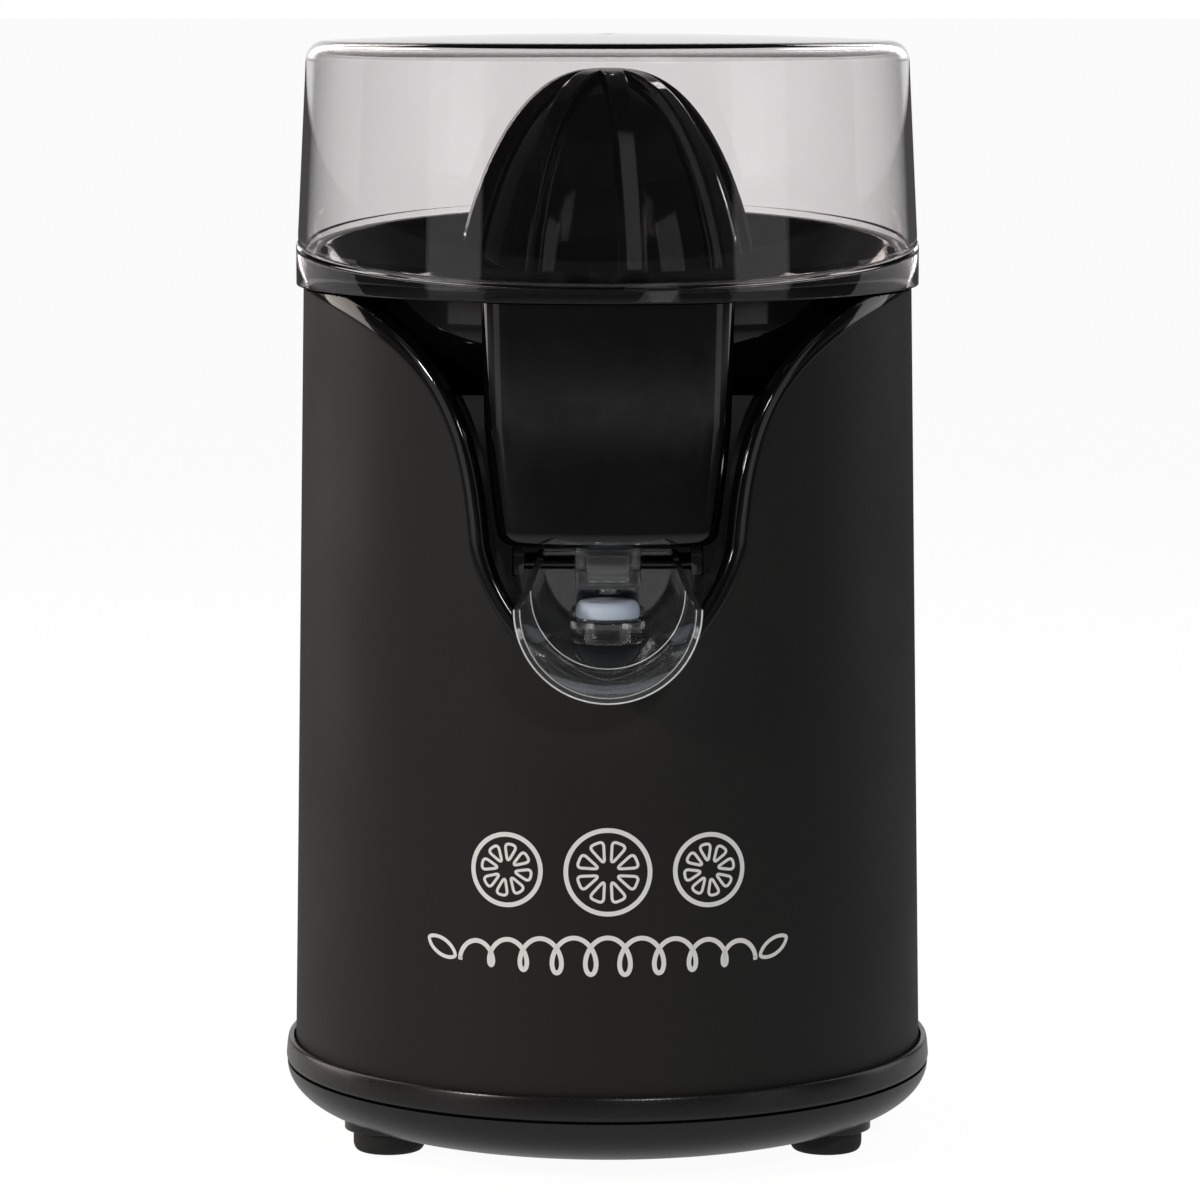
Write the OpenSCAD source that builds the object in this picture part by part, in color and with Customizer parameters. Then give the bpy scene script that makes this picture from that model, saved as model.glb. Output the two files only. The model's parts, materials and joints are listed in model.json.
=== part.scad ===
// Electric citrus press juicer: a tapered drum body with a swooping front opening, a juice bowl with
// a clear tilting spout, a ribbed reamer driven through a two-stage gear train, and a clear lid.
// Origin: on the drum's axis at table level. +Z up, the spout faces -Y.

/* [Base] */
// Widest radius of the moulded base
base_r = 82.5; // [82:0.25:84]
// Height of the rubber feet below the base pan
foot_h = 5; // [4:0.5:6]

/* [Drum] */
// Outer radius of the drum at its lower edge
drum_low_r = 80; // [79.8:0.1:80.2]
// Outer radius of the drum at its upper edge
drum_top_r = 76.8; // [76.6:0.1:77]
// Height of the drum's upper edge
drum_top_z = 215.5; // [215:0.25:216]
// Sheet thickness of the drum
drum_wall = 1.2; // [0.8:0.1:1.4]
// Half width of the front opening at its neck
neck_half_w = 32.3; // [32:0.1:33]

/* [Bowl and lid] */
// Slope of the bowl's rim, lower at the spout, in degrees
rim_slope = 5; // [4:0.25:5.5]
// Height of the bowl's rim above the table, at the axis
rim_z = 225.6; // [225:0.2:227]
// Height of the top of the lid
lid_top_z = 279; // [278:0.5:282]
// Outer radius of the lid at its top edge
lid_top_r = 75.9; // [75.5:0.1:76.5]
// Wall thickness of the lid
lid_wall = 2; // [1.8:0.1:2.2]

/* [Reamer] */
// Largest radius of the reamer, over its ribs
reamer_r = 38; // [36:0.5:39]
// Height of the reamer's tip
reamer_tip_z = 270.5; // [268:0.5:272]
// Number of ribs on the reamer
rib_count = 8; // [6:1:10]

/* [Gear train] */
// Teeth on the output gear
output_teeth = 48; // [46:1:50]
// Teeth on the small stage of the compound gear
stage_pinion_teeth = 12; // [12:1:13]
// Teeth on the large stage of the compound gear
stage_wheel_teeth = 40; // [38:1:40]
// Teeth on the motor pinion
motor_teeth = 10; // [10:1:11]

/* [Hidden] */
$fn = 64;

eps = 0.01;
gap = 0.3;              // clearance between pieces that lift apart
run = 0.05;             // radial running clearance of a shaft

// Base
pan_floor_z = foot_h;
pan_flat_r = 61;        // flat bottom of the pan
seam_z = 17.6;          // joint between pan and ring
lip_z = 24.3;           // top of the ring's raised lip
shelf_z = 21.8;         // shelf that carries the drum
pan_wall = 2.2;
pan_steps = 10;
foot_r = 9;
foot_xy = [55, 31];
foot_seat_z = foot_h + 3.2;
column_xy = 38;         // the four chassis columns stand on a square
column_r = 5;
column_foot_z = 13;
screw_r = 1.5;
screw_head_r = 3.6;
gland_z = 12.5;
gland_end_y = 97;
gland_r = 5;
terminal_y = 57;

// Drum and its front opening
taper = (drum_low_r - drum_top_r) / (drum_top_z - shelf_z);
flare_w = 4.6;          // how much the opening has flared at flare_z
flare_z = 180;
flare_len = 15.9;       // height over which the flare grows by a factor e
arc_z = 158;            // the opening closes below this height
arc_h = 36.5;
arc_power = 1.65;
bead_w = 3.7;           // width of the bead round the opening
bead_depth = 3.5;
bead_proud = 0.6;
panel_t = 2;
alcove_y = -52;         // front face of the alcove's back wall
alcove_top_z = 211.4;

// Collar
collar_z = 211.5;
collar_in_r = 70.3;
collar_out_r = drum_top_r + 0.5;
collar_gap = 34;        // half width of the gap that lets the chute pass

// Bowl
bowl_r = 69.5;          // outer radius below the flange
bowl_wall = 2;
rim_out_r = 76.9;
rim_wall = 3;
flange_z = drum_top_z + 0.1;
bowl_floor_z = 194;
bowl_floor_r = 58;
bowl_knee_z = 205;
tube_in_r = 8.6;
tube_out_r = 10.6;
tube_shoulder_r = 13;
tube_top_z = 226;
shoulder_z = 212;
chute_front_r = 75.3;
chute_back_y = -54;
chute_low_z = 156.6;
chute_corner = 3.6;
chute_half_w = [26.9, 29.8, 30.6];  // at the bottom corner, at the bend and at the flange
chute_bend_z = 183;
rim_reach_z = 240;      // well above the sloping rim plane that trims the wall
nozzle_collar_r = 5;
nozzle_block = [16, 11];
nozzle_block_z = 146.6;
nozzle_room = [10.4, 7.4, 6.8];     // room inside the block
nozzle_low_z = 145.2;
nozzle_neck_r = 3.2;
nozzle_bore_r = 2.2;
nozzle_y = -66;

// Lid
lid_low_r = 78.1;
lid_draft_z = 228;
lid_edge = 5;           // rounding of the lid's top edge
skirt_r = 78.6;
skirt_wall = 1.4;
skirt_low_z = 216.1;
step_h = 1.3;           // the skirt's step stands this far above the rim

// Spout
hinge_y = -57;
hinge_z = 151.5;
hinge_pin_r = 1.5;
spout_tilt = 8.5;
spout_rear_r = 17;
spout_front_r = 22.4;
spout_len = 43.5;
spout_wall = 1.8;
ear_x = 20.2;
ear_t = 3;
ear_r = 3;
plug_r = 7.8;
plug_top_z = 143.6;
plug_h = 4.4;
cup_r = 9;

// Gear train
gear_module = 1;
pressure = 20;
backlash = 0.12;
addendum = 0.85;
dedendum = 1.25;
stage_y = gear_module * (output_teeth + stage_pinion_teeth) / 2;
motor_y = stage_y - gear_module * (stage_wheel_teeth + motor_teeth) / 2;
low_gear_z = 154.5;
low_gear_h = 5.5;
high_gear_z = 169;
high_gear_h = 9;
deck_z = 148;
deck_t = 3;
box_z = deck_z + deck_t;
box_floor_t = 2;
box_top_z = 183;
box_wall = 2;
box_out_r = 29;
box_stage_r = 25;
cover_t = 2;
chimney_r = 8;
chimney_bore = 6.4;
chimney_top_z = 204;
bush_z = 198;
hub_r = chimney_bore - run;
hub_top_z = 185.4;
axle_r = 2;
spindle_r = 3;
spindle_low_z = 166.6;
drive_z = 226;
drive_top_z = 240;
drive_r = 4.2;
clip_z = 195;
clip_h = 1.6;
clip_r = 5.4;
press = 3;
box_screw = [[20, 50], [-20, 50], [24, -19], [-24, -19]];

// Motor
stator_z = 112;
stator_h = 20;
stator_half_w = 25;
stator_low_y = -19;
stator_top_y = 51;
rotor_r = 11.5;
air_gap = 0.4;
shaft_r = 1.6;
bracket_t = 2;
bracket_off = 5;
motor_screw_x = 18;
window_y = [22, 40];
window_half_w = 14;
coil_grow = 7;

// Switch
lever_y = -20;
lever_z = 164.75;
lever_t = 2.5;
lever_w = 5;
lever_pin_r = 1;
button_y = -12;
button_low_z = box_z + box_floor_t + 5.4;
button_gap = 0.35;      // between the button and the lever at rest

function drum_r(z) = drum_low_r - (z - shelf_z) * taper;

// Half width of the front opening at height z, for an outline moved inwards by inset
function open_half_w(z, inset) =
    (neck_half_w - inset + flare_w * exp((z - flare_z) / flare_len))
    * (z < arc_z ? pow(max(0, 1 - pow((arc_z - z) / (arc_h - inset), arc_power)), 1 / arc_power) : 1);

function arc(c, r, a0, a1, n) = [for (i = [0:n]) c + r * [cos(a0 + (a1 - a0) * i / n), sin(a0 + (a1 - a0) * i / n)]];

function mirrored(right) = concat(right, [for (i = [len(right) - 1:-1:0]) [-right[i][0], right[i][1]]]);

// Outline of the front opening, its heights bunched towards the rounded bottom
module open_outline(inset, top_z) {
    low = arc_z - (arc_h - inset);
    steps = 18;
    right = [for (i = [0:steps]) let(z = low + (top_z - low) * pow(i / steps, 1.7)) [open_half_w(z, inset), z]];
    polygon(mirrored(right));
}

// The outline carried from the plane y = y_from towards the front
module through_front(y_from, len) {
    translate([0, y_from, 0]) rotate([90, 0, 0]) linear_extrude(len) children();
}

module drum_cone(shrink) {
    translate([0, 0, shelf_z])
        cylinder(r1 = drum_low_r - shrink, r2 = drum_top_r - shrink, h = drum_top_z - shelf_z, $fn = 128);
}

// Everything below the sloping rim plane through height z on the axis
module below_rim(z) {
    reach = 110;
    translate([0, 0, z]) rotate([rim_slope, 0, 0]) translate([-reach, -reach, -reach]) cube([2 * reach, 2 * reach, reach]);
}

module ring(r_out, r_in, h) {
    difference() {
        cylinder(r = r_out, h = h);
        translate([0, 0, -1]) cylinder(r = r_in, h = h + 2);
    }
}

// A shape carried along X, right through the object, on the spout's hinge line
module across(z) {
    translate([-40, hinge_y, z]) rotate([0, 90, 0]) linear_extrude(80) children();
}

module at_columns() {
    for (sx = [-1, 1], sy = [-1, 1]) translate([sx * column_xy, sy * column_xy, 0]) children();
}

module at_feet() {
    for (sx = [-1, 1], sy = [-1, 1]) translate([sx * foot_xy[0], sy * foot_xy[1], 0]) children();
}

// ---- Base ----

function pan_curve(shrink, n) =
    [for (i = [0:n]) let(a = 90 * i / n)
        [pan_flat_r + (base_r - pan_flat_r - shrink) * sin(a),
         seam_z - (seam_z - pan_floor_z - shrink) * cos(a)]];

module base_pan() color("#191919") difference() {
    union() {
        rotate_extrude($fn = 128) difference() {
            polygon(concat([[0, seam_z], [0, pan_floor_z]], pan_curve(0, pan_steps)));
            polygon(concat([[-1, seam_z + 1], [-1, pan_floor_z + pan_wall]], pan_curve(pan_wall, pan_steps),
                [[base_r - pan_wall, seam_z + 1]]));
        }
        at_feet() translate([0, 0, pan_floor_z + 0.6]) cylinder(r = foot_r + pan_wall, h = foot_seat_z - foot_h + 1.4);
        at_columns() translate([0, 0, pan_floor_z]) cylinder(r = column_r + 1, h = column_foot_z - pan_floor_z);
    }
    at_feet() translate([0, 0, -1]) cylinder(r = foot_r, h = foot_seat_z + 1);
    at_columns() translate([0, 0, 0]) cylinder(r = screw_r + 0.4, h = column_foot_z + 1);
    at_columns() translate([0, 0, 0]) cylinder(r = screw_head_r + 0.4, h = pan_floor_z + 3);
    for (i = [-3:3]) translate([i * 7 - 1.2, -14, 0]) cube([2.4, 28, pan_floor_z + pan_wall + 1]);
    translate([0, base_r + 4, gland_z]) rotate([90, 0, 0]) cylinder(r = gland_r - 1, h = 14);
}

module base_ring() color("#1c1c1c") rotate_extrude($fn = 128) polygon(concat(
    [[drum_low_r - 9, seam_z + 0.05], [base_r - 0.5, seam_z + 0.05], [base_r, seam_z + 0.6]],
    [[base_r - 0.3, lip_z - 2.2]],
    arc([base_r - 1.3, lip_z - 1], 1, 0, 180, 6),
    [[base_r - 2.3, shelf_z], [drum_low_r - 9, shelf_z]]));

module feet() color("#101010") at_feet() difference() {
    union() {
        translate([0, 0, 1]) cylinder(r = foot_r, h = foot_seat_z - 1);
        cylinder(r = foot_r - 1, h = 2);
    }
    translate([0, 0, -1]) cylinder(r = 3, h = 2.5);
}

module base_screws() color("silver") at_columns() difference() {
    union() {
        translate([0, 0, pan_floor_z + 3]) mirror([0, 0, 1]) cylinder(r = screw_head_r, h = 2.4);
        translate([0, 0, pan_floor_z + 1]) cylinder(r = screw_r, h = 20);
    }
    translate([0, 0, pan_floor_z]) {
        translate([-2, -0.4, -1]) cube([4, 0.8, 2.4]);
        translate([-0.4, -2, -1]) cube([0.8, 4, 2.4]);
    }
}

// Strain-relief gland that the mains lead would leave through
module cord_gland() color("#141414") difference() {
    translate([0, gland_end_y, gland_z]) rotate([90, 0, 0]) union() {
        cylinder(r1 = gland_r - 1.4, r2 = gland_r - 1, h = gland_end_y - 79);
        for (i = [0:3]) translate([0, 0, 1.2 + i * 3.2]) cylinder(r = gland_r - 0.5, h = 1.6);
        translate([0, 0, gland_end_y - base_r - 0.4]) mirror([0, 0, 1]) cylinder(r = gland_r + 1, h = 1.6);
    }
    translate([0, gland_end_y + 1, gland_z]) rotate([90, 0, 0]) cylinder(r = 2.4, h = 30);
}

module terminal_block() color("ivory") translate([0, terminal_y, 0]) difference() {
    translate([-12, -6, pan_floor_z + pan_wall]) cube([24, 9, 8]);
    for (x = [-8, 0, 8]) translate([x, -1.5, pan_floor_z + pan_wall + 3]) cylinder(r = 2, h = 10);
}

// ---- Drum, collar and alcove ----

module body_sleeve() color("#26231f") difference() {
    drum_cone(0);
    translate([0, 0, -0.02]) drum_cone(drum_wall);
    translate([0, 0, 0.02]) drum_cone(drum_wall);
    through_front(0, 100) open_outline(0, drum_top_z + 2);
}

module collar() color("#111111") {
    difference() {
        union() {
            translate([0, 0, collar_z]) cylinder(r = drum_top_r - drum_wall - 0.1, h = drum_top_z - collar_z, $fn = 128);
            translate([0, 0, drum_top_z - 12]) cylinder(r = drum_top_r - drum_wall - 0.1, h = 12, $fn = 128);
        }
        translate([0, 0, 150]) cylinder(r = collar_in_r + 1.8, h = 61.5);
        translate([0, 0, 150]) cylinder(r = collar_in_r, h = 80);
        through_front(0, 100) open_outline(bead_w, drum_top_z + 2);
        translate([-collar_gap, -100, 190]) cube([2 * collar_gap, 80, 40]);
        through_front(0, 100) open_outline(-0.2, drum_top_z + 2);
    }
    intersection() {
        through_front(0, 100) difference() {
            open_outline(0.06, drum_top_z);
            open_outline(bead_w, drum_top_z + 3);
        }
        difference() {
            drum_cone(-bead_proud);
            translate([0, 0, -0.02]) drum_cone(bead_depth);
            translate([0, 0, 0.02]) drum_cone(bead_depth);
        }
    }
}

module front_panel() color("#0d0d0d") difference() {
    intersection() {
        through_front(alcove_y + panel_t, 40) open_outline(bead_w - panel_t, alcove_top_z);
        drum_cone(bead_depth + 0.1);
    }
    through_front(alcove_y, 60) open_outline(bead_w, alcove_top_z + 2);
    translate([0, 0, bowl_floor_z - 1]) cylinder(r = bowl_r + 2, h = 40);
}

// ---- Chassis ----

module chassis() color("#d9d9d6") difference() {
    union() {
        intersection() {
            translate([0, 0, deck_z]) cylinder(r = 74.5, h = deck_t, $fn = 128);
            translate([-80, alcove_y + panel_t + 1.5, deck_z - 1]) cube([160, 140, deck_t + 2]);
        }
        at_columns() translate([0, 0, column_foot_z]) cylinder(r = column_r, h = deck_z - column_foot_z + 1);
        for (a = [20, 160]) rotate(a) translate([50, -1, deck_z - 12]) cube([23, 2, 13]);
    }
    at_columns() translate([0, 0, column_foot_z - 1]) cylinder(r = screw_r, h = 22);
    translate([0, motor_y, deck_z - 1]) cylinder(r = 9, h = deck_t + 2);
    for (sx = [-1, 1]) translate([sx * motor_screw_x, motor_y, deck_z - 1]) cylinder(r = 4.2, h = deck_t + 2);
}

// ---- Gearbox ----

module box_plan(grow) {
    circle(r = box_out_r + grow);
    translate([0, stage_y]) circle(r = box_stage_r + grow);
    translate([-box_stage_r - grow, 0]) square([2 * (box_stage_r + grow), stage_y]);
}

module gearbox_housing() color("#e6e4dc") difference() {
    union() {
        translate([0, 0, box_z]) linear_extrude(box_top_z - box_z) box_plan(0);
        for (p = box_screw) translate([p[0], p[1], box_z]) cylinder(r = 4, h = box_top_z - box_z);
        for (sx = [-1, 1]) translate([sx * motor_screw_x, motor_y, stator_z + stator_h + bracket_off + bracket_t])
            cylinder(r = 4, h = box_z + 1 - stator_z - stator_h - bracket_off - bracket_t);
    }
    difference() {
        translate([0, 0, box_z + box_floor_t]) linear_extrude(box_top_z) box_plan(-box_wall);
        for (p = box_screw) translate([p[0], p[1], box_z]) cylinder(r = 4, h = box_top_z);
        for (sx = [-1, 1]) translate([sx * (lever_w / 2 + 2) - 1, lever_y - 3, box_z]) cube([2, 6, lever_z + 2.5 - box_z]);
        translate([0, stage_y, box_z]) cylinder(r = 4, h = box_floor_t + 1);
    }
    for (p = box_screw) translate([p[0], p[1], box_top_z - 14]) cylinder(r = 1.25, h = 20);
    translate([0, stage_y, box_z - 1]) cylinder(r = axle_r, h = 10);
    translate([0, motor_y, box_z - 1]) cylinder(r = 5, h = 10);
    for (sx = [-1, 1]) translate([sx * motor_screw_x, motor_y, stator_z]) cylinder(r = 1.5, h = box_z - stator_z);
    translate([-20, lever_y, lever_z]) rotate([0, 90, 0]) cylinder(r = lever_pin_r, h = 40);
}

module gearbox_cover() color("#e6e4dc") difference() {
    union() {
        translate([0, 0, box_top_z]) linear_extrude(cover_t) box_plan(0);
        for (p = box_screw) translate([p[0], p[1], box_top_z]) cylinder(r = 4, h = cover_t);
        translate([0, 0, box_top_z]) cylinder(r = chimney_r, h = chimney_top_z - box_top_z);
        translate([0, stage_y, box_top_z - 3]) cylinder(r = 4, h = 4);
    }
    translate([0, 0, box_top_z - 1]) cylinder(r = chimney_bore, h = 60);
    translate([0, stage_y, box_top_z - 4]) cylinder(r = axle_r, h = 5);
    for (p = box_screw) translate([p[0], p[1], box_top_z - 1]) cylinder(r = 1.5, h = cover_t + 2);
}

module gearbox_screws() color("silver") for (p = box_screw) translate([p[0], p[1], 0]) difference() {
    union() {
        translate([0, 0, box_top_z + cover_t]) cylinder(r = 2.6, h = 1.8);
        translate([0, 0, box_top_z - 10]) cylinder(r = 1.25, h = cover_t + 11);
    }
    translate([-1.8, -0.35, box_top_z + cover_t + 0.9]) cube([3.6, 0.7, 2]);
    translate([-0.35, -1.8, box_top_z + cover_t + 0.9]) cube([0.7, 3.6, 2]);
}

module spindle_bush() color("#b08d57") translate([0, 0, bush_z])
    ring(chimney_bore, spindle_r + run, chimney_top_z - bush_z);

module idler_axle() color("silver") translate([0, stage_y, box_z])
    cylinder(r = axle_r, h = box_top_z - box_z);

// ---- Gears ----

function roll(r, rb) = sqrt(max(0, pow(r / rb, 2) - 1));
function inv_angle(r, rb) = roll(r, rb) * 180 / PI - atan(roll(r, rb));

// Involute gear outline with a tooth centred on +X
module gear_outline(teeth) {
    rp = gear_module * teeth / 2;
    rb = rp * cos(pressure);
    ro = rp + addendum * gear_module;
    rr = rp - dedendum * gear_module;
    r0 = max(rb, rr);
    half = 90 / teeth - backlash / 2 / rp * 180 / PI + inv_angle(rp, rb);
    flank = [for (i = [0:4]) let(r = r0 + (ro - r0) * i / 4) [r, half - inv_angle(r, rb)]];
    side = concat([[rr, flank[0][1]]], flank);
    polygon([for (t = [0:teeth - 1], s = [-1, 1], i = [0:5])
        let(p = side[s < 0 ? i : 5 - i], a = t * 360 / teeth + s * p[1]) p[0] * [cos(a), sin(a)]]);
}

module gear(teeth, h) linear_extrude(h) gear_outline(teeth);

module output_gear() color("ivory") difference() {
    union() {
        translate([0, 0, high_gear_z]) rotate(90) gear(output_teeth, high_gear_h);
        translate([0, 0, high_gear_z - 1]) cylinder(r = 7, h = high_gear_h + 2);
        translate([0, 0, high_gear_z]) cylinder(r = hub_r, h = hub_top_z - high_gear_z);
    }
    translate([0, 0, high_gear_z - 2]) cylinder(r = spindle_r + run, h = 30);
    for (z = [high_gear_z - 1, high_gear_z + high_gear_h - 2.5]) translate([0, 0, z]) difference() {
        cylinder(r = 19, h = 3.5);
        translate([0, 0, -1]) cylinder(r = 9, h = 6);
    }
}

module compound_gear() color("ivory") translate([0, stage_y, 0]) difference() {
    union() {
        translate([0, 0, low_gear_z]) rotate(-90) gear(stage_wheel_teeth, low_gear_h);
        translate([0, 0, low_gear_z]) cylinder(r = 6, h = 14);
        translate([0, 0, low_gear_z + low_gear_h])
            rotate(-90 + 180 / stage_pinion_teeth)
            gear(stage_pinion_teeth, high_gear_z + high_gear_h + 1 - low_gear_z - low_gear_h);
    }
    translate([0, 0, low_gear_z - 1]) cylinder(r = axle_r + run, h = 40);
    translate([0, 0, low_gear_z + low_gear_h - 2]) difference() {
        cylinder(r = 16, h = 3);
        translate([0, 0, -1]) cylinder(r = 8, h = 5);
    }
}

module motor_pinion() color("#b08d57") translate([0, motor_y, low_gear_z - 0.5]) difference() {
    rotate(90 + 180 / motor_teeth) gear(motor_teeth, low_gear_h + 0.5);
    translate([0, 0, -1]) cylinder(r = shaft_r, h = 10);
}

// ---- Motor ----

module motor_shaft() color("silver") translate([0, motor_y, stator_z - bracket_off - 5])
    cylinder(r = shaft_r, h = low_gear_z + low_gear_h - stator_z + bracket_off + 5);

module rotor() color("#8d8f92") translate([0, motor_y, stator_z - 1]) difference() {
    union() {
        cylinder(r = rotor_r, h = stator_h + 2);
        translate([0, 0, -1.5]) ring(rotor_r - 1, rotor_r - 4, stator_h + 5);
    }
    translate([0, 0, -2]) cylinder(r = shaft_r, h = stator_h + 6);
}

module stator() color("#6f7276") difference() {
    translate([-stator_half_w, stator_low_y, stator_z]) cube([2 * stator_half_w, stator_top_y - stator_low_y, stator_h]);
    translate([0, motor_y, stator_z - 1]) cylinder(r = rotor_r + air_gap, h = stator_h + 2);
    translate([-window_half_w - 2, window_y[0], stator_z - 1])
        cube([2 * window_half_w + 4, window_y[1] - window_y[0], stator_h + 2]);
    for (sx = [-1, 1]) translate([sx * motor_screw_x, motor_y, stator_z - 1]) cylinder(r = 1.5, h = stator_h + 2);
}

module coil() color("#b5651d") difference() {
    translate([-window_half_w, window_y[1] - coil_grow, stator_z - coil_grow])
        cube([2 * window_half_w, stator_top_y - window_y[1] + 2 * coil_grow, stator_h + 2 * coil_grow]);
    translate([-window_half_w - 1, window_y[1], stator_z])
        cube([2 * window_half_w + 2, stator_top_y - window_y[1], stator_h]);
}

module bracket() difference() {
    union() {
        translate([-stator_half_w, motor_y - 7, bracket_off]) cube([2 * stator_half_w, 14, bracket_t]);
        for (sx = [-1, 1]) translate([sx * motor_screw_x, motor_y, 0]) cylinder(r = 4, h = bracket_off + bracket_t);
        translate([0, motor_y, bracket_off - 1.5]) cylinder(r = 5.5, h = bracket_t + 3);
    }
    translate([0, motor_y, -1]) cylinder(r = shaft_r + run, h = 14);
    for (sx = [-1, 1]) translate([sx * motor_screw_x, motor_y, -1]) cylinder(r = 1.5, h = 12);
}

module upper_bracket() color("silver") translate([0, 0, stator_z + stator_h]) bracket();

module lower_bracket() color("silver") translate([0, 0, stator_z]) mirror([0, 0, 1]) bracket();

module motor_screws() color("silver") for (sx = [-1, 1])
    translate([sx * motor_screw_x, motor_y, stator_z - bracket_off - bracket_t]) {
        cylinder(r = 1.5, h = 43.5);
        mirror([0, 0, 1]) cylinder(r = 3, h = 2);
    }

// ---- Spindle and switch ----

module spindle() color("silver") {
    translate([0, 0, spindle_low_z]) cylinder(r = spindle_r, h = drive_z - spindle_low_z);
    translate([0, 0, drive_z]) cylinder(r = drive_r, h = drive_top_z - drive_z, $fn = 6);
}

module spindle_clip() color("#3a3a3a") translate([0, 0, clip_z]) ring(clip_r, spindle_r, clip_h);

// Coil spring as a round wire swept along a helix
module return_spring() color("silver") {
    wire = 0.4;
    coil_r = 4.9;
    low = hub_top_z + 0.1 + wire;
    high = clip_z - 0.1 - wire;
    turns = 4;
    around = 16;
    sides = 6;
    n = turns * around;
    pts = [for (i = [0:n], k = [0:sides - 1])
        let(a = i * 360 / around, b = k * 360 / sides, r = coil_r + wire * cos(b))
        [r * cos(a), r * sin(a), low + (high - low) * i / n + wire * sin(b)]];
    walls = [for (i = [0:n - 1], k = [0:sides - 1]) let(a = i * sides, k2 = (k + 1) % sides)
        [a + k, a + sides + k, a + sides + k2, a + k2]];
    polyhedron(points = pts, convexity = 10, faces = concat(walls,
        [[for (k = [0:sides - 1]) k]], [[for (k = [sides - 1:-1:0]) n * sides + k]]));
}

module switch_body() color("#1d1d1d") difference() {
    translate([-3.2, button_y - 5, box_z + box_floor_t]) cube([6.4, 10, 6.6]);
    translate([-1.1, button_y - 1.6, box_z + box_floor_t + 4]) cube([2.2, 3.2, 4]);
}

module switch_button() color("#c03a2b")
    translate([-1, button_y - 1.5, button_low_z]) cube([2, 3, lever_z - lever_t / 2 - button_gap - button_low_z]);

module switch_lever() color("silver") difference() {
    union() {
        translate([-lever_w / 2, lever_y, lever_z - lever_t / 2]) cube([lever_w, 2 - lever_y, lever_t]);
        translate([-lever_w / 2, lever_y, lever_z]) rotate([0, 90, 0]) cylinder(r = 2.2, h = lever_w);
    }
    translate([-lever_w, lever_y, lever_z]) rotate([0, 90, 0]) cylinder(r = lever_pin_r + run, h = 2 * lever_w);
}

module lever_pin() color("silver") translate([-lever_w / 2 - 3, lever_y, lever_z]) rotate([0, 90, 0])
    cylinder(r = lever_pin_r, h = lever_w + 6);

// ---- Bowl, nozzle and spout ----

// Front outline of the chute, shrunk by its wall thickness
module chute_outline(shrink) polygon(mirrored(concat(
    arc([chute_half_w[0] - chute_corner, chute_low_z + chute_corner], chute_corner - shrink, -90, 0, 5),
    [[chute_half_w[1] - shrink, chute_bend_z], [chute_half_w[2] - shrink, flange_z]])));

// Room inside the chute, open to the basin above it
module chute_room() intersection() {
    through_front(chute_back_y - bowl_wall, 40) chute_outline(bowl_wall);
    cylinder(r = chute_front_r - bowl_wall, h = flange_z, $fn = 128);
}

// The basin's outer form, filled in
module basin_filled() rotate_extrude($fn = 128) polygon([
    [0, bowl_floor_z], [bowl_floor_r, bowl_floor_z], [bowl_r, bowl_knee_z], [bowl_r, flange_z],
    [rim_out_r, flange_z], [rim_out_r, rim_reach_z], [0, rim_reach_z]]);

module bowl() color("#0b0b0b") difference() {
    intersection() {
        rotate_extrude($fn = 128) polygon([
            [tube_in_r, bowl_floor_z], [bowl_floor_r, bowl_floor_z], [bowl_r, bowl_knee_z], [bowl_r, flange_z],
            [rim_out_r, flange_z], [rim_out_r, rim_reach_z], [rim_out_r - rim_wall, rim_reach_z],
            [rim_out_r - rim_wall, flange_z + 2 * bowl_wall], [bowl_r - bowl_wall, flange_z + bowl_wall],
            [bowl_r - bowl_wall, bowl_knee_z + 1], [bowl_floor_r - 1, bowl_floor_z + bowl_wall],
            [tube_shoulder_r, bowl_floor_z + bowl_wall], [tube_shoulder_r, shoulder_z],
            [tube_out_r, shoulder_z], [tube_out_r, tube_top_z], [tube_in_r, tube_top_z]]);
        below_rim(rim_z);
    }
    chute_room();
}

// Lower part of the bowl's moulding: the chute under the basin's front and the ears for the spout's pin
module bowl_chute() color("#0b0b0b") difference() {
    union() {
        intersection() {
            through_front(chute_back_y, 40) chute_outline(0);
            cylinder(r = chute_front_r, h = flange_z, $fn = 128);
        }
        for (sx = [-1, 1]) translate([sx * (ear_x + ear_t / 2) - ear_t / 2, hinge_y - ear_r, hinge_z - ear_r])
            cube([ear_t, 2 * ear_r, chute_low_z - hinge_z + ear_r + 1]);
    }
    chute_room();
    basin_filled();
    translate([0, nozzle_y, chute_low_z - 1]) cylinder(r = nozzle_collar_r, h = 2 * bowl_wall);
    across(hinge_z) circle(r = hinge_pin_r);
}

module nozzle() color("#cfd6d8", 0.5) translate([0, nozzle_y, 0]) difference() {
    union() {
        translate([-nozzle_block[0] / 2, -nozzle_block[1] / 2, nozzle_block_z])
            cube([nozzle_block[0], nozzle_block[1], chute_low_z - nozzle_block_z]);
        translate([0, 0, nozzle_low_z]) cylinder(r = nozzle_neck_r, h = 5);
        translate([0, 0, chute_low_z - 1]) cylinder(r = nozzle_collar_r, h = 1 + bowl_wall);
    }
    translate([0, 0, nozzle_low_z - 1]) cylinder(r = nozzle_bore_r, h = 30);
    translate([-nozzle_room[0] / 2, -nozzle_room[1] / 2, nozzle_block_z + 1.6])
        cube([nozzle_room[0], nozzle_room[1], nozzle_room[2]]);
}

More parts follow.
